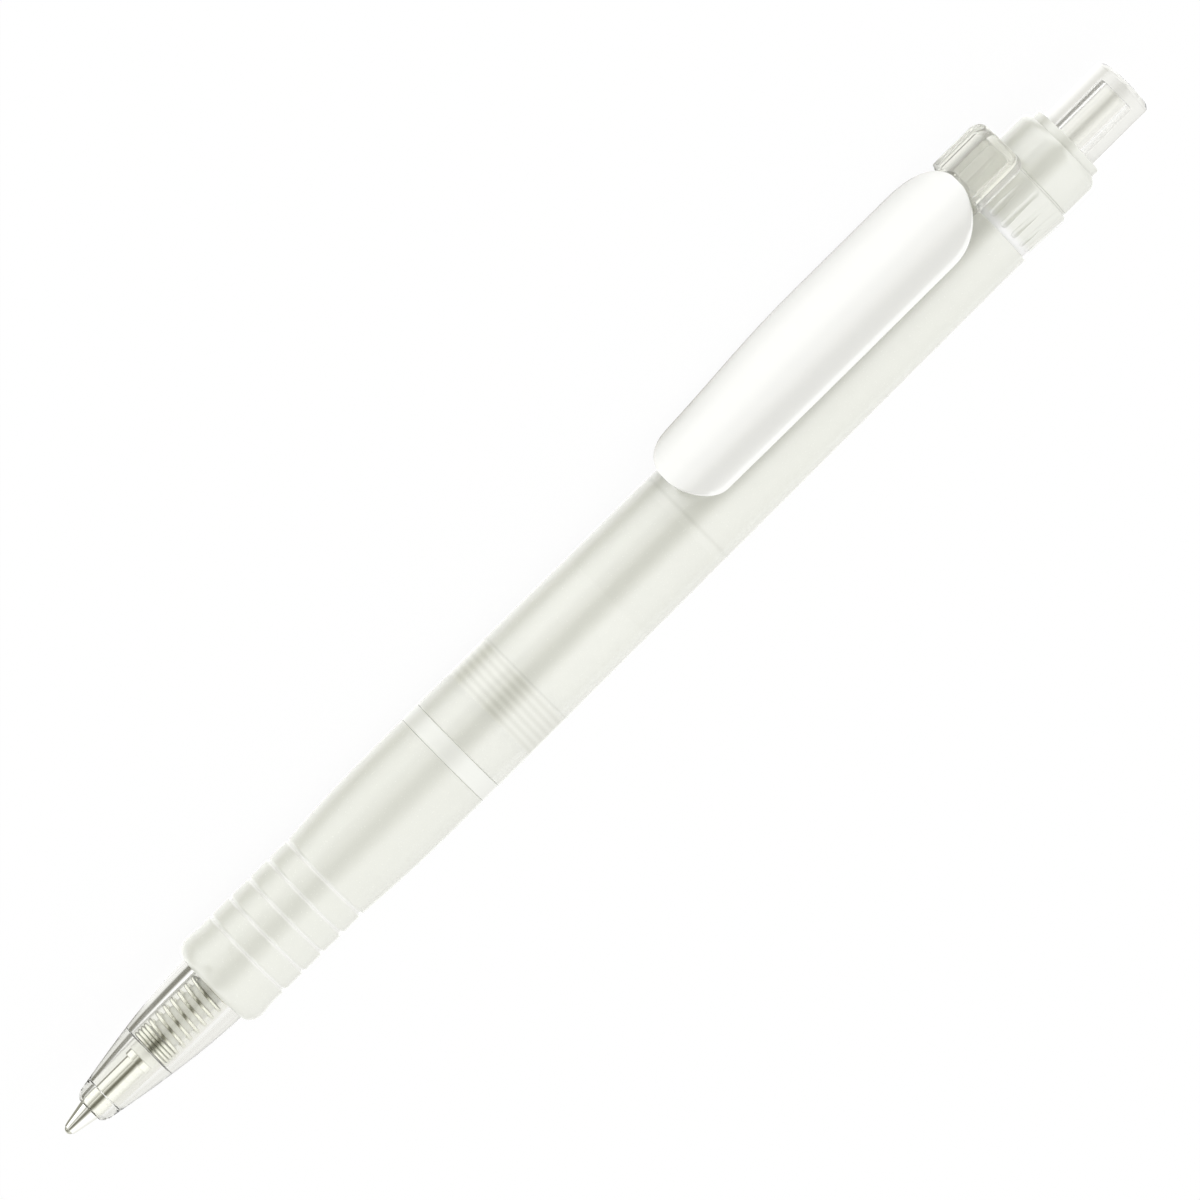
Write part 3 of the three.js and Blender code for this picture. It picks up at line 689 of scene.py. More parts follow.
def makeNose():
    start, end = ends("front_barrel")
    sleeveFront = front("grip_sleeve")
    ringRear = start + nose["stepLength"]
    outer = [
        (start, nose["faceRadius"], 0.04),
        (start + nose["edgeLength"], nose["edgeRadius"], 0.3),
        (ringRear - nose["lineStart"], nose["ringRadius"] - nose["lineRise"]),
        (ringRear, nose["ringRadius"] - nose["ringLine"]),
    ]
    curveFront = ringRear + nose["lineEnd"]
    for i in range(nose["curveSteps"] + 1):
        station = mix(curveFront, sleeveFront, i / nose["curveSteps"])
        share = (sleeveFront - station) / (sleeveFront - curveFront)
        drop = (nose["rearRadius"] - nose["ringRadius"]) * share ** nose["bulge"]
        outer.append((station, nose["rearRadius"] - drop))
    outer += [(sleeveFront, nose["bodyRadius"]), (end, nose["bodyRadius"], 0.2)]
    seat = start + nose["shoulder"]
    socketFront = end - nose["socketLength"]
    bore = [
        (end, nose["socketRadius"], edgeSoftness),
        (socketFront, nose["socketRadius"], edgeSoftness),
        (socketFront, nose["chamberRadius"], edgeSoftness),
        (seat, nose["chamberRadius"], 0.12),
        (seat, nose["taperRear"], 0.08),
        (start + nose["tunnelLength"] + nose["funnelLength"], nose["taperFront"], edgeSoftness),
        (start + nose["tunnelLength"], nose["tunnelRadius"], 0.05),
        (start, nose["tunnelRadius"], 0.02),
    ]
    piece = turned("noseAndFrontBarrel", outer + bore)
    finishPiece(piece, "barrel", ["front_barrel"], clearPlastic)


# Frosted grip sleeve with five grooves
grip = {
    "lipRadius": 5.07,
    "lipLength": 1.65,
    "lipSteps": 12,
    "waistRadius": 4.9,
    "waistLength": 3.6,
    "landRadius": 4.97,
    "grooves": 5,
    "firstGroove": 4.69,
    "pitch": 2.52,
    "width": 0.56,
    "depth": 0.22,
    "grooveEdge": 0.08,
    "paintedGrooveHighlight": [(-0.3, 0), (-0.15, 1), (0.08, 1), (0.2, 0)],
    "flareLength": 10.6,
    "flareSteps": 16,
    "rearRadius": 5.4,
    "bore": 3.77,
}


def grooveMiddles():
    first = front("grip_sleeve") + grip["firstGroove"]
    return [first + i * grip["pitch"] for i in range(grip["grooves"])]


# Each groove gets a painted highlight: a whiter band in the grip's colour around the groove's middle.
gripPlastic = frostedFinish("gripPlastic", {
    **frosted,
    "pale": colour(241, 242, 233),
    "deep": colour(236, 237, 226),
    "cover": 0.85,
    "coat": 0.8,
    "coatRoughness": 0.22,
    "paintedHighlight": [(at + offset, share) for at in grooveMiddles() for offset, share in grip["paintedGrooveHighlight"]],
    "paintedHighlightColour": colour(255, 255, 250),
})


def makeGrip():
    start, end = ends("grip_sleeve")
    lip = start + grip["lipLength"]
    height = grip["lipRadius"] - nose["rearRadius"]
    profile = []
    for i in range(grip["lipSteps"] + 1):
        angle = math.pi / 2 * i / grip["lipSteps"]
        reach = grip["lipLength"] * math.cos(angle)
        profile.append((lip - reach, nose["rearRadius"] + height * math.sin(angle)))
    waist = start + grip["waistLength"]
    profile += [
        ((lip + waist) / 2, (grip["lipRadius"] + grip["waistRadius"]) / 2, 0.4),
        (waist, grip["waistRadius"], 0.3),
    ]
    half, land, edge = grip["width"] / 2, grip["landRadius"], grip["grooveEdge"]
    for at in grooveMiddles():
        profile += [(at - half, land, edge), (at, land - grip["depth"], edge), (at + half, land, edge)]
    flareStart = grooveMiddles()[-1] + grip["width"]
    for i in range(1, grip["flareSteps"] + 1):
        t = i / grip["flareSteps"]
        swell = (grip["rearRadius"] - land) * (1 - (1 - t) ** 2)
        profile.append((flareStart + t * grip["flareLength"], land + swell))
    profile += [
        (end, grip["rearRadius"], 0.12),
        (end, grip["bore"], edgeSoftness),
        (start, grip["bore"], edgeSoftness),
    ]
    piece = turned("gripSleeve", profile)
    finishPiece(piece, "barrel", ["grip_sleeve"], gripPlastic)


# White coupler with its screw thread; over the thread the barrel is opaque, and painted shade stripes on
# it stand in for the thread
coupler = {
    "chamfer": 0.14,
    "frontSpigot": 3.06,
    "rearSpigot": 4.3,
    "bore": 2.42,
    "boreFlare": 0.9,
    "ringLength": 2.04,
    "threadStart": 4.1,
    "threadTurns": 6,
    "threadHeight": 0.34,
    "threadSink": 0.04,
    "threadCorners": 6,
    "stepsPerTurn": 64,
}


def makeCoupler():
    start, end = ends("threaded_coupler")
    ringFront = rear("grip_sleeve")
    ringRear = front("upper_barrel")
    radius = radiusOf("threaded_coupler")
    profile = [
        (start, coupler["frontSpigot"], 0.15),
        (ringFront, coupler["frontSpigot"]),
        (ringFront, radius, coupler["chamfer"]),
        (ringRear, radius, coupler["chamfer"]),
        (ringRear, coupler["rearSpigot"], 0.06),
        (end, coupler["rearSpigot"], 0.15),
        (end, coupler["bore"] + coupler["boreFlare"], edgeSoftness),
        (ringRear + coupler["ringLength"], coupler["bore"]),
        (start, coupler["bore"], edgeSoftness),
    ]
    piece = turned("threadedCoupler", profile)
    thread = wound(
        "thread",
        ringRear + coupler["threadStart"],
        coupler["rearSpigot"] - coupler["threadSink"],
        coupler["threadHeight"],
        coupler["threadCorners"],
        coupler["threadTurns"],
        threadPitch,
        coupler["stepsPerTurn"],
    )
    closeEnds(thread)
    joined([piece, thread])
    finishPiece(piece, "barrel", ["threaded_coupler"], couplerPlastic)


# Upper barrel
barrel = {"rearRadius": 5.16, "bore": 4.5, "edge": 0.14}


def makeBarrel():
    start, end = ends("upper_barrel")
    profile = [
        (start, radiusOf("upper_barrel"), barrel["edge"]),
        (end, barrel["rearRadius"], barrel["edge"]),
        (end, barrel["bore"], edgeSoftness),
        (start, barrel["bore"], edgeSoftness),
    ]
    piece = turned("upperBarrel", profile, sides=160)
    finishPiece(piece, "barrel", ["upper_barrel"], barrelPlastic)


# Fluted clip collar
collar = {
    "neckRadius": 4.78,
    "neckLength": 0.45,
    "footRadius": 4.83,
    "bulgeRadius": 5.09,
    "spigotRadius": 4.45,
    "bore": 4.08,
    "seamLength": 0.2,
    "seamDepth": 0.08,
    "flutes": 20,
    "fluteRadius": 0.42,
    "fluteDepth": 0.24,
    "fluteRise": 0.68,
}


def makeCollar():
    start = rear("upper_barrel")
    end = rear("clip_collar")
    bulgeEnd = end - collar["seamLength"]
    profile = [
        (front("clip_collar"), collar["spigotRadius"], edgeSoftness),
        (start, collar["spigotRadius"]),
        (start, collar["neckRadius"]),
        (start + collar["neckLength"], collar["footRadius"], 0.15),
        (bulgeEnd, collar["bulgeRadius"], 0.3),
        (bulgeEnd, radiusOf("end_cap"), 0.05),
        (end, radiusOf("end_cap") - collar["seamDepth"]),
        (end, collar["bore"]),
        (front("clip_collar"), collar["bore"], edgeSoftness),
    ]
    piece = turned("clipCollar", profile, sides=160)
    fluteFront = start + collar["neckLength"]
    length = end + overcut - fluteFront
    deselect()
    bpy.ops.mesh.primitive_uv_sphere_add(segments=20, ring_count=12, radius=collar["fluteRadius"] * mm)
    cutter = named("flute")
    bottom = collar["footRadius"] - collar["fluteDepth"]
    middle = along(fluteFront + collar["fluteRadius"])
    startEdit(cutter)
    bpy.ops.transform.translate(value=(middle, 0, (bottom + collar["fluteRadius"]) * mm))
    pick(cutter, "faces", lambda face: face.calc_center_median().x < middle)
    bpy.ops.mesh.extrude_region_move(
        TRANSFORM_OT_translate={"value": (-length * mm, 0, collar["fluteRise"] * mm)}
    )
    endEdit()
    settle(cutter, turn=math.pi / collar["flutes"])
    combine(piece, ringOf(cutter, collar["flutes"]), "DIFFERENCE")
    finishPiece(piece, "barrel", ["clip_collar"], collarPlastic)


# End cap
cap = {"rearRadius": 4.36, "rounding": 0.6, "bore": 4.08}


def makeCap():
    start, end = ends("end_cap")
    radius = radiusOf("end_cap")
    profile = [
        (start, radius, edgeSoftness),
        (end - cap["rounding"], radius, 0.35),
        (end, cap["rearRadius"], edgeSoftness),
        (end, cap["bore"], 0.06),
        (start, cap["bore"]),
    ]
    piece = turned("endCap", profile)
    finishPiece(piece, "barrel", ["end_cap"], rearPlastic)


# Guide tube with four cam ribs inside
guide = {
    "radius": 4.03,
    "mouth": 3.35,
    "bore": 3.6,
    "flangeLength": 0.95,
    "shoulder": 126.7,
    "edge": 0.12,
    "ribs": 4,
    "ribInner": 2.75,
    "ribFront": 110,
    "ribRear": 119,
    "ribHalf": 1.0,
    "ribSlope": 0.7,
}


def makeGuide():
    start, end = ends("guide_tube")
    profile = [
        (start, radiusOf("guide_tube"), edgeSoftness),
        (start + guide["flangeLength"], radiusOf("guide_tube"), edgeSoftness),
        (start + guide["flangeLength"], guide["radius"], edgeSoftness),
        (end, guide["radius"], guide["edge"]),
        (end, guide["mouth"], guide["edge"]),
        (guide["shoulder"], guide["mouth"], 0.08),
        (guide["shoulder"], guide["bore"], 0.08),
        (start, guide["bore"], edgeSoftness),
    ]
    piece = turned("guideTube", profile, sides=96)
    rib = block(
        "rib",
        guide["ribFront"],
        guide["ribRear"],
        guide["ribHalf"],
        guide["ribInner"],
        (guide["bore"] + guide["radius"]) / 2,
    )
    startEdit(rib)
    frontX = along(guide["ribFront"])
    pick(rib, "verts", lambda vertex: vertex.co.x > frontX - nearby and vertex.co.y > 0)
    bpy.ops.transform.translate(value=(-guide["ribSlope"] * mm, 0, 0))
    endEdit()
    settle(rib, turn=math.pi / guide["ribs"])
    combine(piece, ringOf(rib, guide["ribs"]), "UNION")
    finishPiece(piece, "barrel", ["guide_tube"], rearPlastic)


# Push button, clear and hollow
button = {
    "radius": 3.2,
    "flatRadius": 1.98,
    "dome": 0.6,
    "domeLength": 0.35,
    "domeWidth": 0.72,
    "wall": 1.8,
    "endWall": 1.6,
    "coreRadius": 2.6,
    "coreBore": 1.75,
    "flangeFront": 120.2,
    "flangeLength": 1.8,
    "flangeRadius": 3.45,
    "teeth": 8,
    "toothHeight": 0.8,
    "notchHalf": 0.55,
    "notchInner": 1.2,
    "notchOuter": 3.0,
    "notchPoint": 0.05,
    "finRadius": 3.42,
    "finHalf": 0.8,
    "finSink": 0.3,
    "finLap": 0.1,
    "finSoft": 0.08,
    "fins": 4,
}


def makeButton():
    start, end = ends("push_button")
    radius = button["radius"]
    bore = radius - button["wall"]
    flangeRear = button["flangeFront"] + button["flangeLength"]
    profile = [
        (start, button["coreRadius"]),
        (start, button["coreBore"]),
        (button["flangeFront"], button["coreBore"], edgeSoftness),
        (flangeRear, bore, edgeSoftness),
        (end - button["endWall"], bore, 0.12),
        (end - button["endWall"], 0.0),
        (end, 0.0),
        (end, button["flatRadius"], 0.3),
        (
            end - button["dome"] * button["domeLength"],
            mix(button["flatRadius"], radius, button["domeWidth"]),
            0.25,
        ),
        (end - button["dome"], radius, 0.12),
        (flangeRear, radius, 0.05),
        (flangeRear, button["flangeRadius"], 0.05),
        (button["flangeFront"], button["flangeRadius"], edgeSoftness),
        (button["flangeFront"], button["coreRadius"], 0.05),
    ]
    piece = turned("pushButton", profile)
    # Notches that come to a point at the rear leave the teeth between them
    notchRear = start + button["toothHeight"]
    heights = button["notchInner"], button["notchOuter"]
    notch = block("notch", start - overcut, notchRear, button["notchHalf"], *heights)
    startEdit(notch)
    pick(notch, "verts", lambda vertex: vertex.co.x < along(notchRear) + nearby)
    bpy.ops.transform.resize(value=(1, button["notchPoint"], 1), center_override=(0, 0, 0))
    endEdit()
    combine(piece, ringOf(notch, button["teeth"]), "DIFFERENCE")
    fin = block(
        "fin",
        start + 2 * button["toothHeight"],
        button["flangeFront"] + button["finLap"],
        button["finHalf"],
        button["coreRadius"] - button["finSink"],
        button["finRadius"],
        soft=button["finSoft"],
    )
    combine(piece, ringOf(fin, button["fins"]), "UNION")
    finishPiece(piece, "button", ["push_button"], buttonPlastic)


# Writing tip, turned from nickel silver
tip = {
    "lip": 0.38,
    "lipRadius": 0.58,
    "neckLength": 0.45,
    "neckRadius": 0.7,
    "coneLength": 2.75,
    "shaftRadius": 1.16,
    "shaftEnd": 9.28,
    "flangeRadius": 1.4,
    "flangeLength": 0.75,
    "spigotRadius": 0.95,
    "socket": 0.53,
    "passage": 0.3,
    "ballRadius": 0.5,
}


def makeTip():
    end = rear("writing_tip")
    coneRear = tip["lip"] + tip["coneLength"]
    flangeEnd = tip["shaftEnd"] + tip["flangeLength"]
    profile = [
        (tip["lip"], tip["lipRadius"], 0.02),
        (tip["lip"] + tip["neckLength"], tip["neckRadius"], edgeSoftness),
        (coneRear, tip["shaftRadius"], 0.12),
        (tip["shaftEnd"], tip["shaftRadius"], 0.05),
        (tip["shaftEnd"], tip["flangeRadius"], 0.08),
        (flangeEnd, tip["flangeRadius"], 0.08),
        (flangeEnd, tip["spigotRadius"]),
        (end, tip["spigotRadius"], edgeSoftness),
        (end, tip["passage"]),
        (2 * tip["ballRadius"] + tip["passage"], tip["passage"]),
        (2 * tip["ballRadius"], tip["socket"]),
        (tip["lip"], tip["socket"]),
    ]
    piece = turned("writingTip", profile, sides=96)
    finishPiece(piece, "refill", ["writing_tip"], nickelSilver)


# Refill tube with its spring stop
refill = {"radius": 1.5, "bore": 1.0, "stopRadius": 2.2, "stopLength": 1.2}


def makeRefill():
    start, end = ends("refill_tube")
    stop = rear("spring")
    profile = [
        (start, refill["radius"], 0.05),
        (stop, refill["radius"]),
        (stop, refill["stopRadius"], edgeSoftness),
        (stop + refill["stopLength"] / 2, refill["stopRadius"], 0.2),
        (stop + refill["stopLength"], refill["radius"], edgeSoftness),
        (end, refill["radius"], edgeSoftness),
        (end, refill["bore"], edgeSoftness),
        (start, refill["bore"]),
    ]
    piece = turned("refillTube", profile, sides=96)
    finishPiece(piece, "refill", ["refill_tube"], refillPlastic)


# Compression spring, with closed turns at both ends
spring = {
    "wire": 0.38,
    "outerRadius": 2.15,
    "frontTurns": 4,
    "openTurns": 7,
    "rearTurns": 2,
    "closedPitch": 0.4,
    "corners": 12,
    "stepsPerTurn": 40,
}


def makeSpring():
    start, end = ends("spring")
    closed = (spring["frontTurns"] + spring["rearTurns"]) * spring["closedPitch"]
    openPitch = (end - start - closed - spring["wire"]) / spring["openTurns"]
    coilRadius = spring["outerRadius"] - spring["wire"] / 2
    station = start + spring["wire"] / 2
    sections = []
    for turns, pitch in (
        (spring["frontTurns"], spring["closedPitch"]),
        (spring["openTurns"], openPitch),
        (spring["rearTurns"], spring["closedPitch"]),
    ):
        coils = ("coils", station, coilRadius, spring["wire"], spring["corners"], turns, pitch)
        sections.append(wound(*coils, spring["stepsPerTurn"]))
        station += turns * pitch
    joined(sections)
    piece = named("compressionSpring")
    closeEnds(piece)
    dress(piece, springSteel, smooth=50)
    along(start)
    along(end)
    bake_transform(piece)
    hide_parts("spring")


# Clip plate, an arched shell with rounded ends and a foot
plate = {
    "frontHalf": 4.75,
    "rearHalf": 5.35,
    "frontEnd": 3.6,
    "rearEnd": 5.7,
    "edgeFront": 6.45,
    "edgeRear": 7.4,
    "crown": 2.05,
    "rise": 20,
    "wall": 1.0,
    "endAngle": 6,
    "endColumns": 12,
    "middleColumns": 26,
    "rows": 18,
    "archRings": 17,
    "archSides": 128,
    "archMargin": 2,
    "dropHeight": 30,
    "footStart": 0.55,
    "footLength": 4.6,
    "footHalf": 1.4,
    "footGap": 0.05,
    "footCorner": 0.4,
    "footSoft": 0.25,
}
plateFront, plateRear = ends("clip_plate")

# The clip is turned down until its plate's lower edge is level with the barrel's underside.
edgeReach = math.hypot(plate["rearHalf"], plate["edgeRear"])
edgeAngle = math.atan2(plate["rearHalf"], plate["edgeRear"])
clipTurn = math.asin(radiusOf("upper_barrel") / edgeReach) - edgeAngle
clipAngle = math.pi / 2 + clipTurn


def plateShare(station):
    t = min(1, max(0, (station - plateFront) / plate["rise"]))
    return t * t * (3 - 2 * t)


def plateHalf(station):
    return mix(plate["frontHalf"], plate["rearHalf"], plateShare(station))


def plateEdge(station):
    return mix(plate["edgeFront"], plate["edgeRear"], plateShare(station))


def plateArch(station):
    return (plateHalf(station) ** 2 + plate["crown"] ** 2) / (2 * plate["crown"])


def plateTop(station, across):
    arch = plateArch(station)
    return plateEdge(station) + plate["crown"] - arch + math.sqrt(arch**2 - across**2)


def plateColumns():
    columns = []
    for i in range(plate["endColumns"]):
        angle = math.radians(mix(plate["endAngle"], 90, i / plate["endColumns"]))
        columns.append((plateFront + plate["frontEnd"] * (1 - math.cos(angle)), math.sin(angle)))
    straightFront = plateFront + plate["frontEnd"]
    straightRear = plateRear - plate["rearEnd"]
    for i in range(plate["middleColumns"] + 1):
        columns.append((mix(straightFront, straightRear, i / plate["middleColumns"]), 1))
    for i in range(plate["endColumns"]):
        angle = math.radians(mix(90, plate["endAngle"], (i + 1) / plate["endColumns"]))
        columns.append((plateRear - plate["rearEnd"] * (1 - math.cos(angle)), math.sin(angle)))
    return columns


# The arched form that the flat outline is laid on: circles at a few stations, bridged.
def archForm():
    rings = []
    margin = plate["archMargin"]
    for i in range(plate["archRings"]):
        station = mix(plateFront - margin, plateRear + margin, i / (plate["archRings"] - 1))
        arch = plateArch(station)
        deselect()
        bpy.ops.mesh.primitive_circle_add(
            vertices=plate["archSides"],
            radius=arch * mm,
            location=(along(station), 0, (plateEdge(station) + plate["crown"] - arch) * mm),
            rotation=(0, math.pi / 2, 0),
        )
        bpy.ops.object.transform_apply(location=True, rotation=True)
        rings.append(bpy.context.active_object)
    form = joined(rings)
    startEdit(form)
    bpy.ops.mesh.bridge_edge_loops()
    endEdit()
    return form


# The plate's outline, widened by the spread, laid on the arched form from above
def archedSheet(name, spread):
    columns = plateColumns()
    deselect()
    bpy.ops.mesh.primitive_grid_add(x_subdivisions=len(columns) - 1, y_subdivisions=plate["rows"], size=2)
    sheet = named(name)
    xs = sorted({round(vertex.co.x, 5) for vertex in sheet.data.vertices}, reverse=True)
    startEdit(sheet)
    for x, (station, share) in zip(xs, columns):
        pick(sheet, "verts", lambda vertex: abs(vertex.co.x - x) < 1e-4)
        reach = -spread if x == xs[0] else spread if x == xs[-1] else 0
        half = plateHalf(station) * share + spread
        bpy.ops.transform.resize(value=(1, half * mm, 1), center_override=(0, 0, 0))
        bpy.ops.transform.translate(value=(0, 0, along(station + reach)))
    endEdit()
    for vertex in sheet.data.vertices:
        vertex.co = (vertex.co.z, vertex.co.y, plate["dropHeight"] * mm)
    form = archForm()
    applyModifier(
        sheet,
        "SHRINKWRAP",
        target=form,
        wrap_method="PROJECT",
        use_project_z=True,
        use_negative_direction=True,
        use_positive_direction=False,
    )
    bpy.data.objects.remove(form)
    return sheet


def makePlate():
    piece = archedSheet("clipPlate", 0)
    applyModifier(piece, "SOLIDIFY", thickness=plate["wall"] * mm, offset=-1, use_even_offset=False)
    applyModifier(piece, "SUBSURF", levels=1, render_levels=1)
    footFront = plateFront + plate["footStart"]
    footTop = plateTop(footFront, plate["footHalf"]) - plate["wall"] / 2
    foot = block(
        "foot",
        footFront,
        footFront + plate["footLength"],
        plate["footHalf"],
        radiusOf("upper_barrel") + plate["footGap"],
        footTop,
        plate["footCorner"],
        plate["footSoft"],
    )
    combine(piece, foot, "UNION")
    finishPiece(piece, "clip", ["clip_plate"], clipPlastic, clipAngle)


# Clip arm: clear block with a recessed panel, a seat for the plate, a tongue and a web
arm = {
    "length": 11,
    "half": 3.25,
    "bottom": 7.55,
    "top": 9.4,
    "corner": 1.3,
    "soft": 0.45,
    "rearGap": 0.3,
    "panelInset": 0.95,
    "panelLength": 5.2,
    "panelHalf": 2.45,
    "panelDepth": 0.35,
    "panelCorner": 0.6,
    "seatGap": 0.3,
    "tongueHalf": 2.2,
    "tongueThickness": 1.1,
    "tongueCorner": 0.8,
    "webHalf": 1.8,
    "webLength": 4.4,
    "webCorner": 0.5,
}


def makeArm():
    armRear = rear("clip_arm") - arm["rearGap"]
    armFront = armRear - arm["length"]
    piece = block(
        "clipArm", armFront, armRear, arm["half"], arm["bottom"], arm["top"], arm["corner"], arm["soft"]
    )
    tongueTop = plateTop(armFront, arm["tongueHalf"]) - plate["wall"] - arm["seatGap"]
    tongue = block(
        "tongue",
        front("clip_arm"),
        armFront + arm["corner"] + arm["soft"],
        arm["tongueHalf"],
        tongueTop - arm["tongueThickness"],
        tongueTop,
        arm["tongueCorner"],
        edgeSoftness,
    )
    combine(piece, tongue, "UNION")
    webRear = rear("clip_collar") - collar["seamLength"] - arm["seatGap"]
    web = block(
        "web",
        webRear - arm["webLength"],
        webRear,
        arm["webHalf"],
        collar["bulgeRadius"] + arm["seatGap"],
        (arm["bottom"] + arm["top"]) / 2,
        arm["webCorner"],
    )
    combine(piece, web, "UNION")
    panelRear = armRear - arm["panelInset"]
    panel = block(
        "panel",
        panelRear - arm["panelLength"],
        panelRear,
        arm["panelHalf"],
        arm["top"] - arm["panelDepth"],
        arm["top"] + overcut,
        arm["panelCorner"],
    )
    combine(piece, panel, "DIFFERENCE")
    seat = archedSheet("seat", arm["seatGap"])
    settle(seat, z=-(plate["wall"] + arm["seatGap"]) * mm)
    depth = plate["wall"] + arm["seatGap"] + arm["top"] - arm["bottom"]
    applyModifier(seat, "SOLIDIFY", thickness=depth * mm, offset=1, use_even_offset=False)
    combine(piece, seat, "DIFFERENCE")
    finishPiece(piece, "clip", ["clip_arm"], armPlastic, clipAngle)


for make in (makeTip, makeRefill, makeSpring, makeNose, makeGrip, makeCoupler, makeBarrel, makeCollar,
             makeCap, makeGuide, makeButton, makePlate, makeArm):
    make()
print("pieces made")

# CAD nodes that stay, with their finishes
for node, material in {
    "writing_ball": carbide,
    "ink_column": ink,
    "refill_plug": refillPlastic,
    "cam_rotor": whitePlastic,
}.items():
    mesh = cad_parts[node].data
    mesh.materials.clear()
    mesh.materials.append(material)

# Camera at the photograph's angle: a long lens, rolled so that the tip points to the lower left
view = {
    "elevation": 29.2,
    "roll": 224.7,
    "distance": 1200,
    "frameWidth": 112.5,
    "right": 0.28,
    "up": 0.7,
    "sensor": 36,
    "nearest": 100,
    "farthest": 20000,
}


def makeCamera():
    lift = math.radians(view["elevation"])
    roll = math.radians(view["roll"])
    towards = Vector((0, -math.cos(lift), math.sin(lift)))
    level = Vector((1, 0, 0))
    upright = towards.cross(level)
    right = level * math.cos(roll) - upright * math.sin(roll)
    up = level * math.sin(roll) + upright * math.cos(roll)
    centre = Vector(((cadBounds[0][0] + cadBounds[1][0]) / 2, axisY, axisZ))
    place = centre + (right * view["right"] + up * view["up"] + towards * view["distance"]) * mm
    lens = bpy.data.cameras.new("camera")
    lens.sensor_width = view["sensor"]
    lens.lens = lens.sensor_width * view["distance"] / view["frameWidth"]
    lens.clip_start = view["nearest"] * mm
    lens.clip_end = view["farthest"] * mm
    camera = bpy.data.objects.new("camera", lens)
    bpy.context.scene.collection.objects.link(camera)
    camera.matrix_world = Matrix((
        (right.x, up.x, towards.x, place.x),
        (right.y, up.y, towards.y, place.y),
        (right.z, up.z, towards.z, place.z),
        (0, 0, 0, 1),
    ))
    bpy.context.scene.camera = camera


makeCamera()

# Light: brightness of the sky at angles up from the camera's side of the floor, over the pen and down
# behind it, as plain surfaces get it and as gloss shows it
light = {
    "onPlastic": [(0, 1.06), (30, 1.09), (60, 1.11), (110, 1.04), (180, 0.9)],
    "inGloss": [(0, 1.1), (10, 0.7), (22, 0.2), (38, 0.2), (54, 0.8), (66, 1.3), (110, 1.2), (140, 1.0),
                (180, 0.84)],
    "shade": (1.0, 0.97, 0.74),
    "brightest": 2.2,
}
# Ramps hold shares of the brightest, so plain white is this
whiteShare = 1 / light["brightest"]
plainWhite = (whiteShare, whiteShare, whiteShare, 1)

# Floor: brightness across from the pen's axis, in millimetres and away from the camera, as gloss and
# clear plastic show it
studio = {
    "floorSize": 4,
    "floorColour": colour(250, 250, 248),
    "floorRoughness": 0.9,
    "floorGloss": 0.1,
    "glow": 0.96,
    "reach": 60,
    # The dips near the axis in these ramps are a painted shadow of the pen on the floor, which only gloss
    # and clear plastic see.
    "mirrored": [(-60, 1), (-36, 1.2), (-23, 1.45), (-11, 1.5), (-8, 1.1), (-6.4, 0.6), (-5.2, 0.6),
                 (-4.4, 0.9), (-3.2, 1.5), (-1.8, 1.6), (12, 1.6), (60, 1.2)],
    "mirroredAtTip": [(-60, 0.3), (-36, 0.55), (-16, 1.15), (-8.5, 1.25), (-7, 1.85), (-4.2, 1.85),
                      (-3.3, 0.3), (1.4, 0.3), (3.4, 1.15), (60, 1)],
    "tipZone": [(12, 1), (14, 0)],
    "refracted": [(-60, 0.5), (-20, 0.9), (-9, 1.35), (-2.6, 1.35), (-1.4, 0.2), (0.7, 0.2), (1.6, 0.9),
                  (60, 0.87)],
    "insideGlow": 1.5,
}


# A ramp of brightnesses, in which the dark ones lean to olive.
def toned(sheet, place, levels):
    stops = []
    for at, glow in levels:
        lean = max(0, 1 - glow)
        shade = [glow * mix(1, part, lean) / light["brightest"] for part in light["shade"]]
        stops.append((at, (*shade, 1)))
    return sheet.node("ShaderNodeValToRGB", {"stops": stops}, {0: place})


# Which kind of ray looks: the camera's, a glossy one, one through clear plastic, or a scattered one
def lightPath(sheet):
    path = sheet.node("ShaderNodeLightPath").socket.node
    camera, glossy, through, depth = (
        Wire(sheet, path.outputs[name])
        for name in ("Is Camera Ray", "Is Glossy Ray", "Is Transmission Ray", "Diffuse Depth")
    )
    return camera, glossy, through, sheet.maths("MINIMUM", depth, 1)


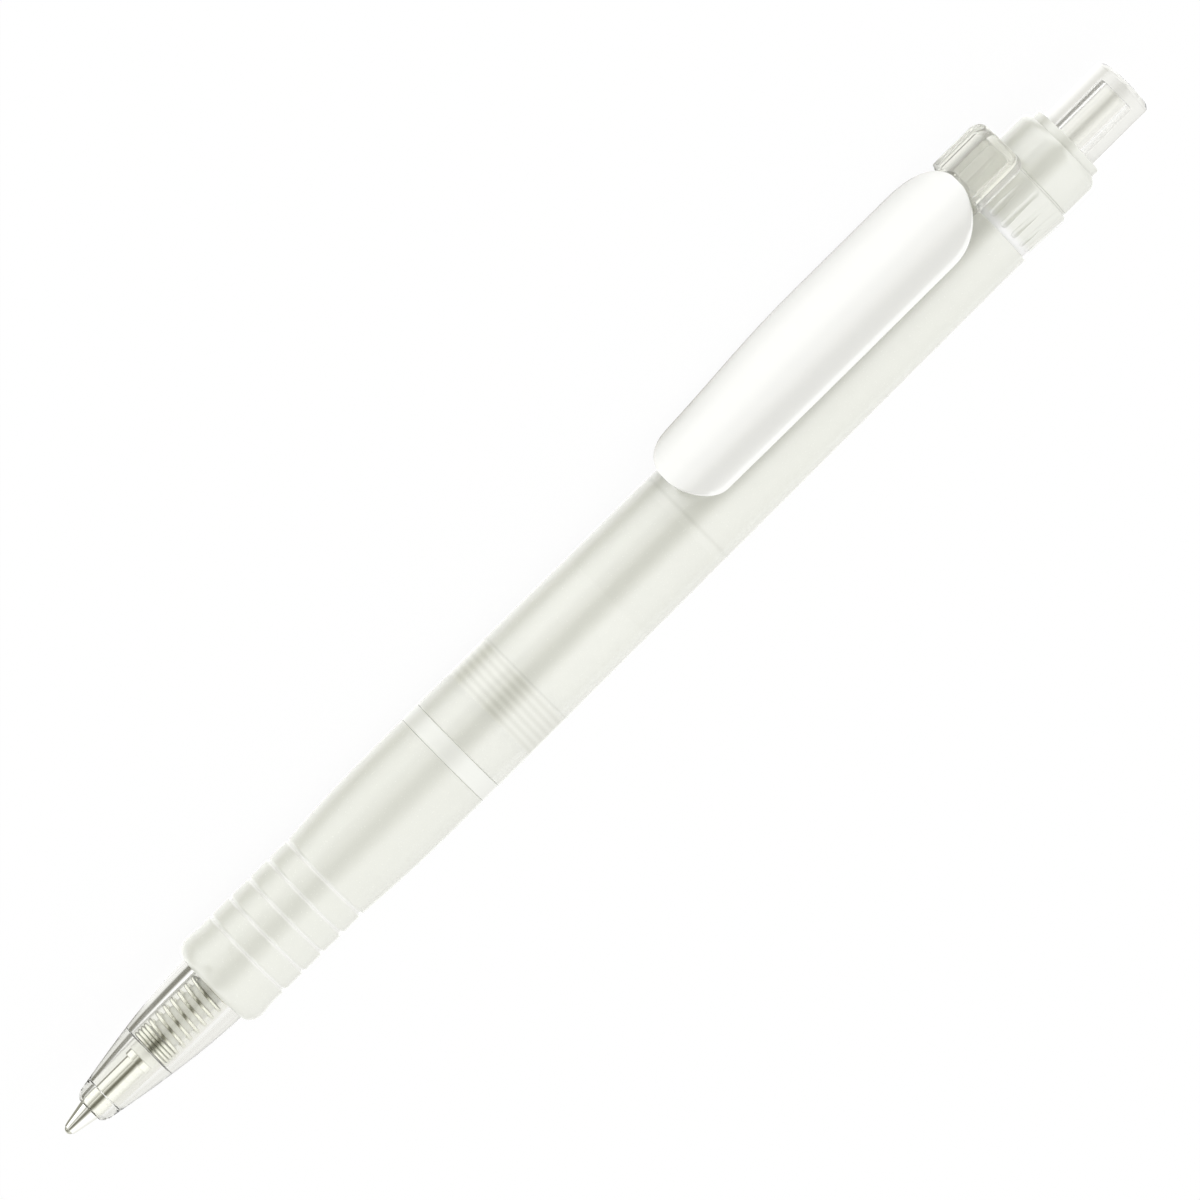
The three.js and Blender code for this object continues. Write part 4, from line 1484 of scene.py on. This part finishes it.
def makeFloor():
    deselect()
    bpy.ops.mesh.primitive_plane_add(size=studio["floorSize"])
    floor = named("floor")
    finish = Finish("floorPaper", {
        "Base Color": studio["floorColour"],
        "Roughness": studio["floorRoughness"],
        "Specular IOR Level": studio["floorGloss"],
    })
    camera, glossy, through, scattered = lightPath(finish)
    station, sideways = penAxes(finish)[:2]
    across = sideways * (1 / mm) * (0.5 / studio["reach"]) + 0.5
    mirrored, mirroredAtTip, refracted = (
        toned(finish, across, [((at / studio["reach"] + 1) / 2, glow) for at, glow in studio[kind]])
        for kind in ("mirrored", "mirroredAtTip", "refracted")
    )
    atTip = banded(finish, station, studio["tipZone"])
    card = finish.blend(through, finish.blend(atTip, mirrored, mirroredAtTip), refracted)
    inside = through * scattered
    tone = finish.blend(camera, finish.blend(inside, card, plainWhite), plainWhite)
    strength = (inside * (studio["insideGlow"] - 1) + 1) * light["brightest"]
    glow = finish.node("ShaderNodeEmission", None, {"Color": tone, "Strength": strength})
    seen = camera.atLeast(glossy.atLeast(through) * (1 - scattered)).atLeast(inside)
    shown = finish.node(
        "ShaderNodeMixShader",
        None,
        {0: seen * studio["glow"], 1: Wire(finish, finish.shader.outputs[0]), 2: glow},
    )
    finish.feed(finish.tree.nodes["Material Output"].inputs["Surface"], shown)
    floor.data.materials.append(finish.material)


def makeWorld():
    world = bpy.data.worlds.new("studio")
    bpy.context.scene.world = world
    world.use_nodes = True
    sheet = Sheet(world.node_tree)
    world.node_tree.nodes.clear()
    direction = sheet.node("ShaderNodeTexCoord", output="Generated")
    y, z = sheet.axes(direction)[1:]
    angle = sheet.maths("ARCTAN2", z, 0 - y)
    plain, pattern = (
        toned(sheet, angle * (1 / math.pi), [(degrees / 180, glow) for degrees, glow in light[kind]])
        for kind in ("onPlastic", "inGloss")
    )
    camera, glossy, through, scattered = lightPath(sheet)
    mirrored = glossy.atLeast(through) * (1 - scattered)
    tone = sheet.blend(camera, sheet.blend(mirrored, plain, pattern), plainWhite)
    strength = (through * scattered * (studio["insideGlow"] - 1) + 1) * light["brightest"]
    background = sheet.node("ShaderNodeBackground", None, {"Color": tone, "Strength": strength})
    final = world.node_tree.nodes.new("ShaderNodeOutputWorld")
    sheet.feed(final.inputs["Surface"], background)


makeFloor()
makeWorld()
bpy.context.scene.view_settings.view_transform = "Standard"

print("scene made")
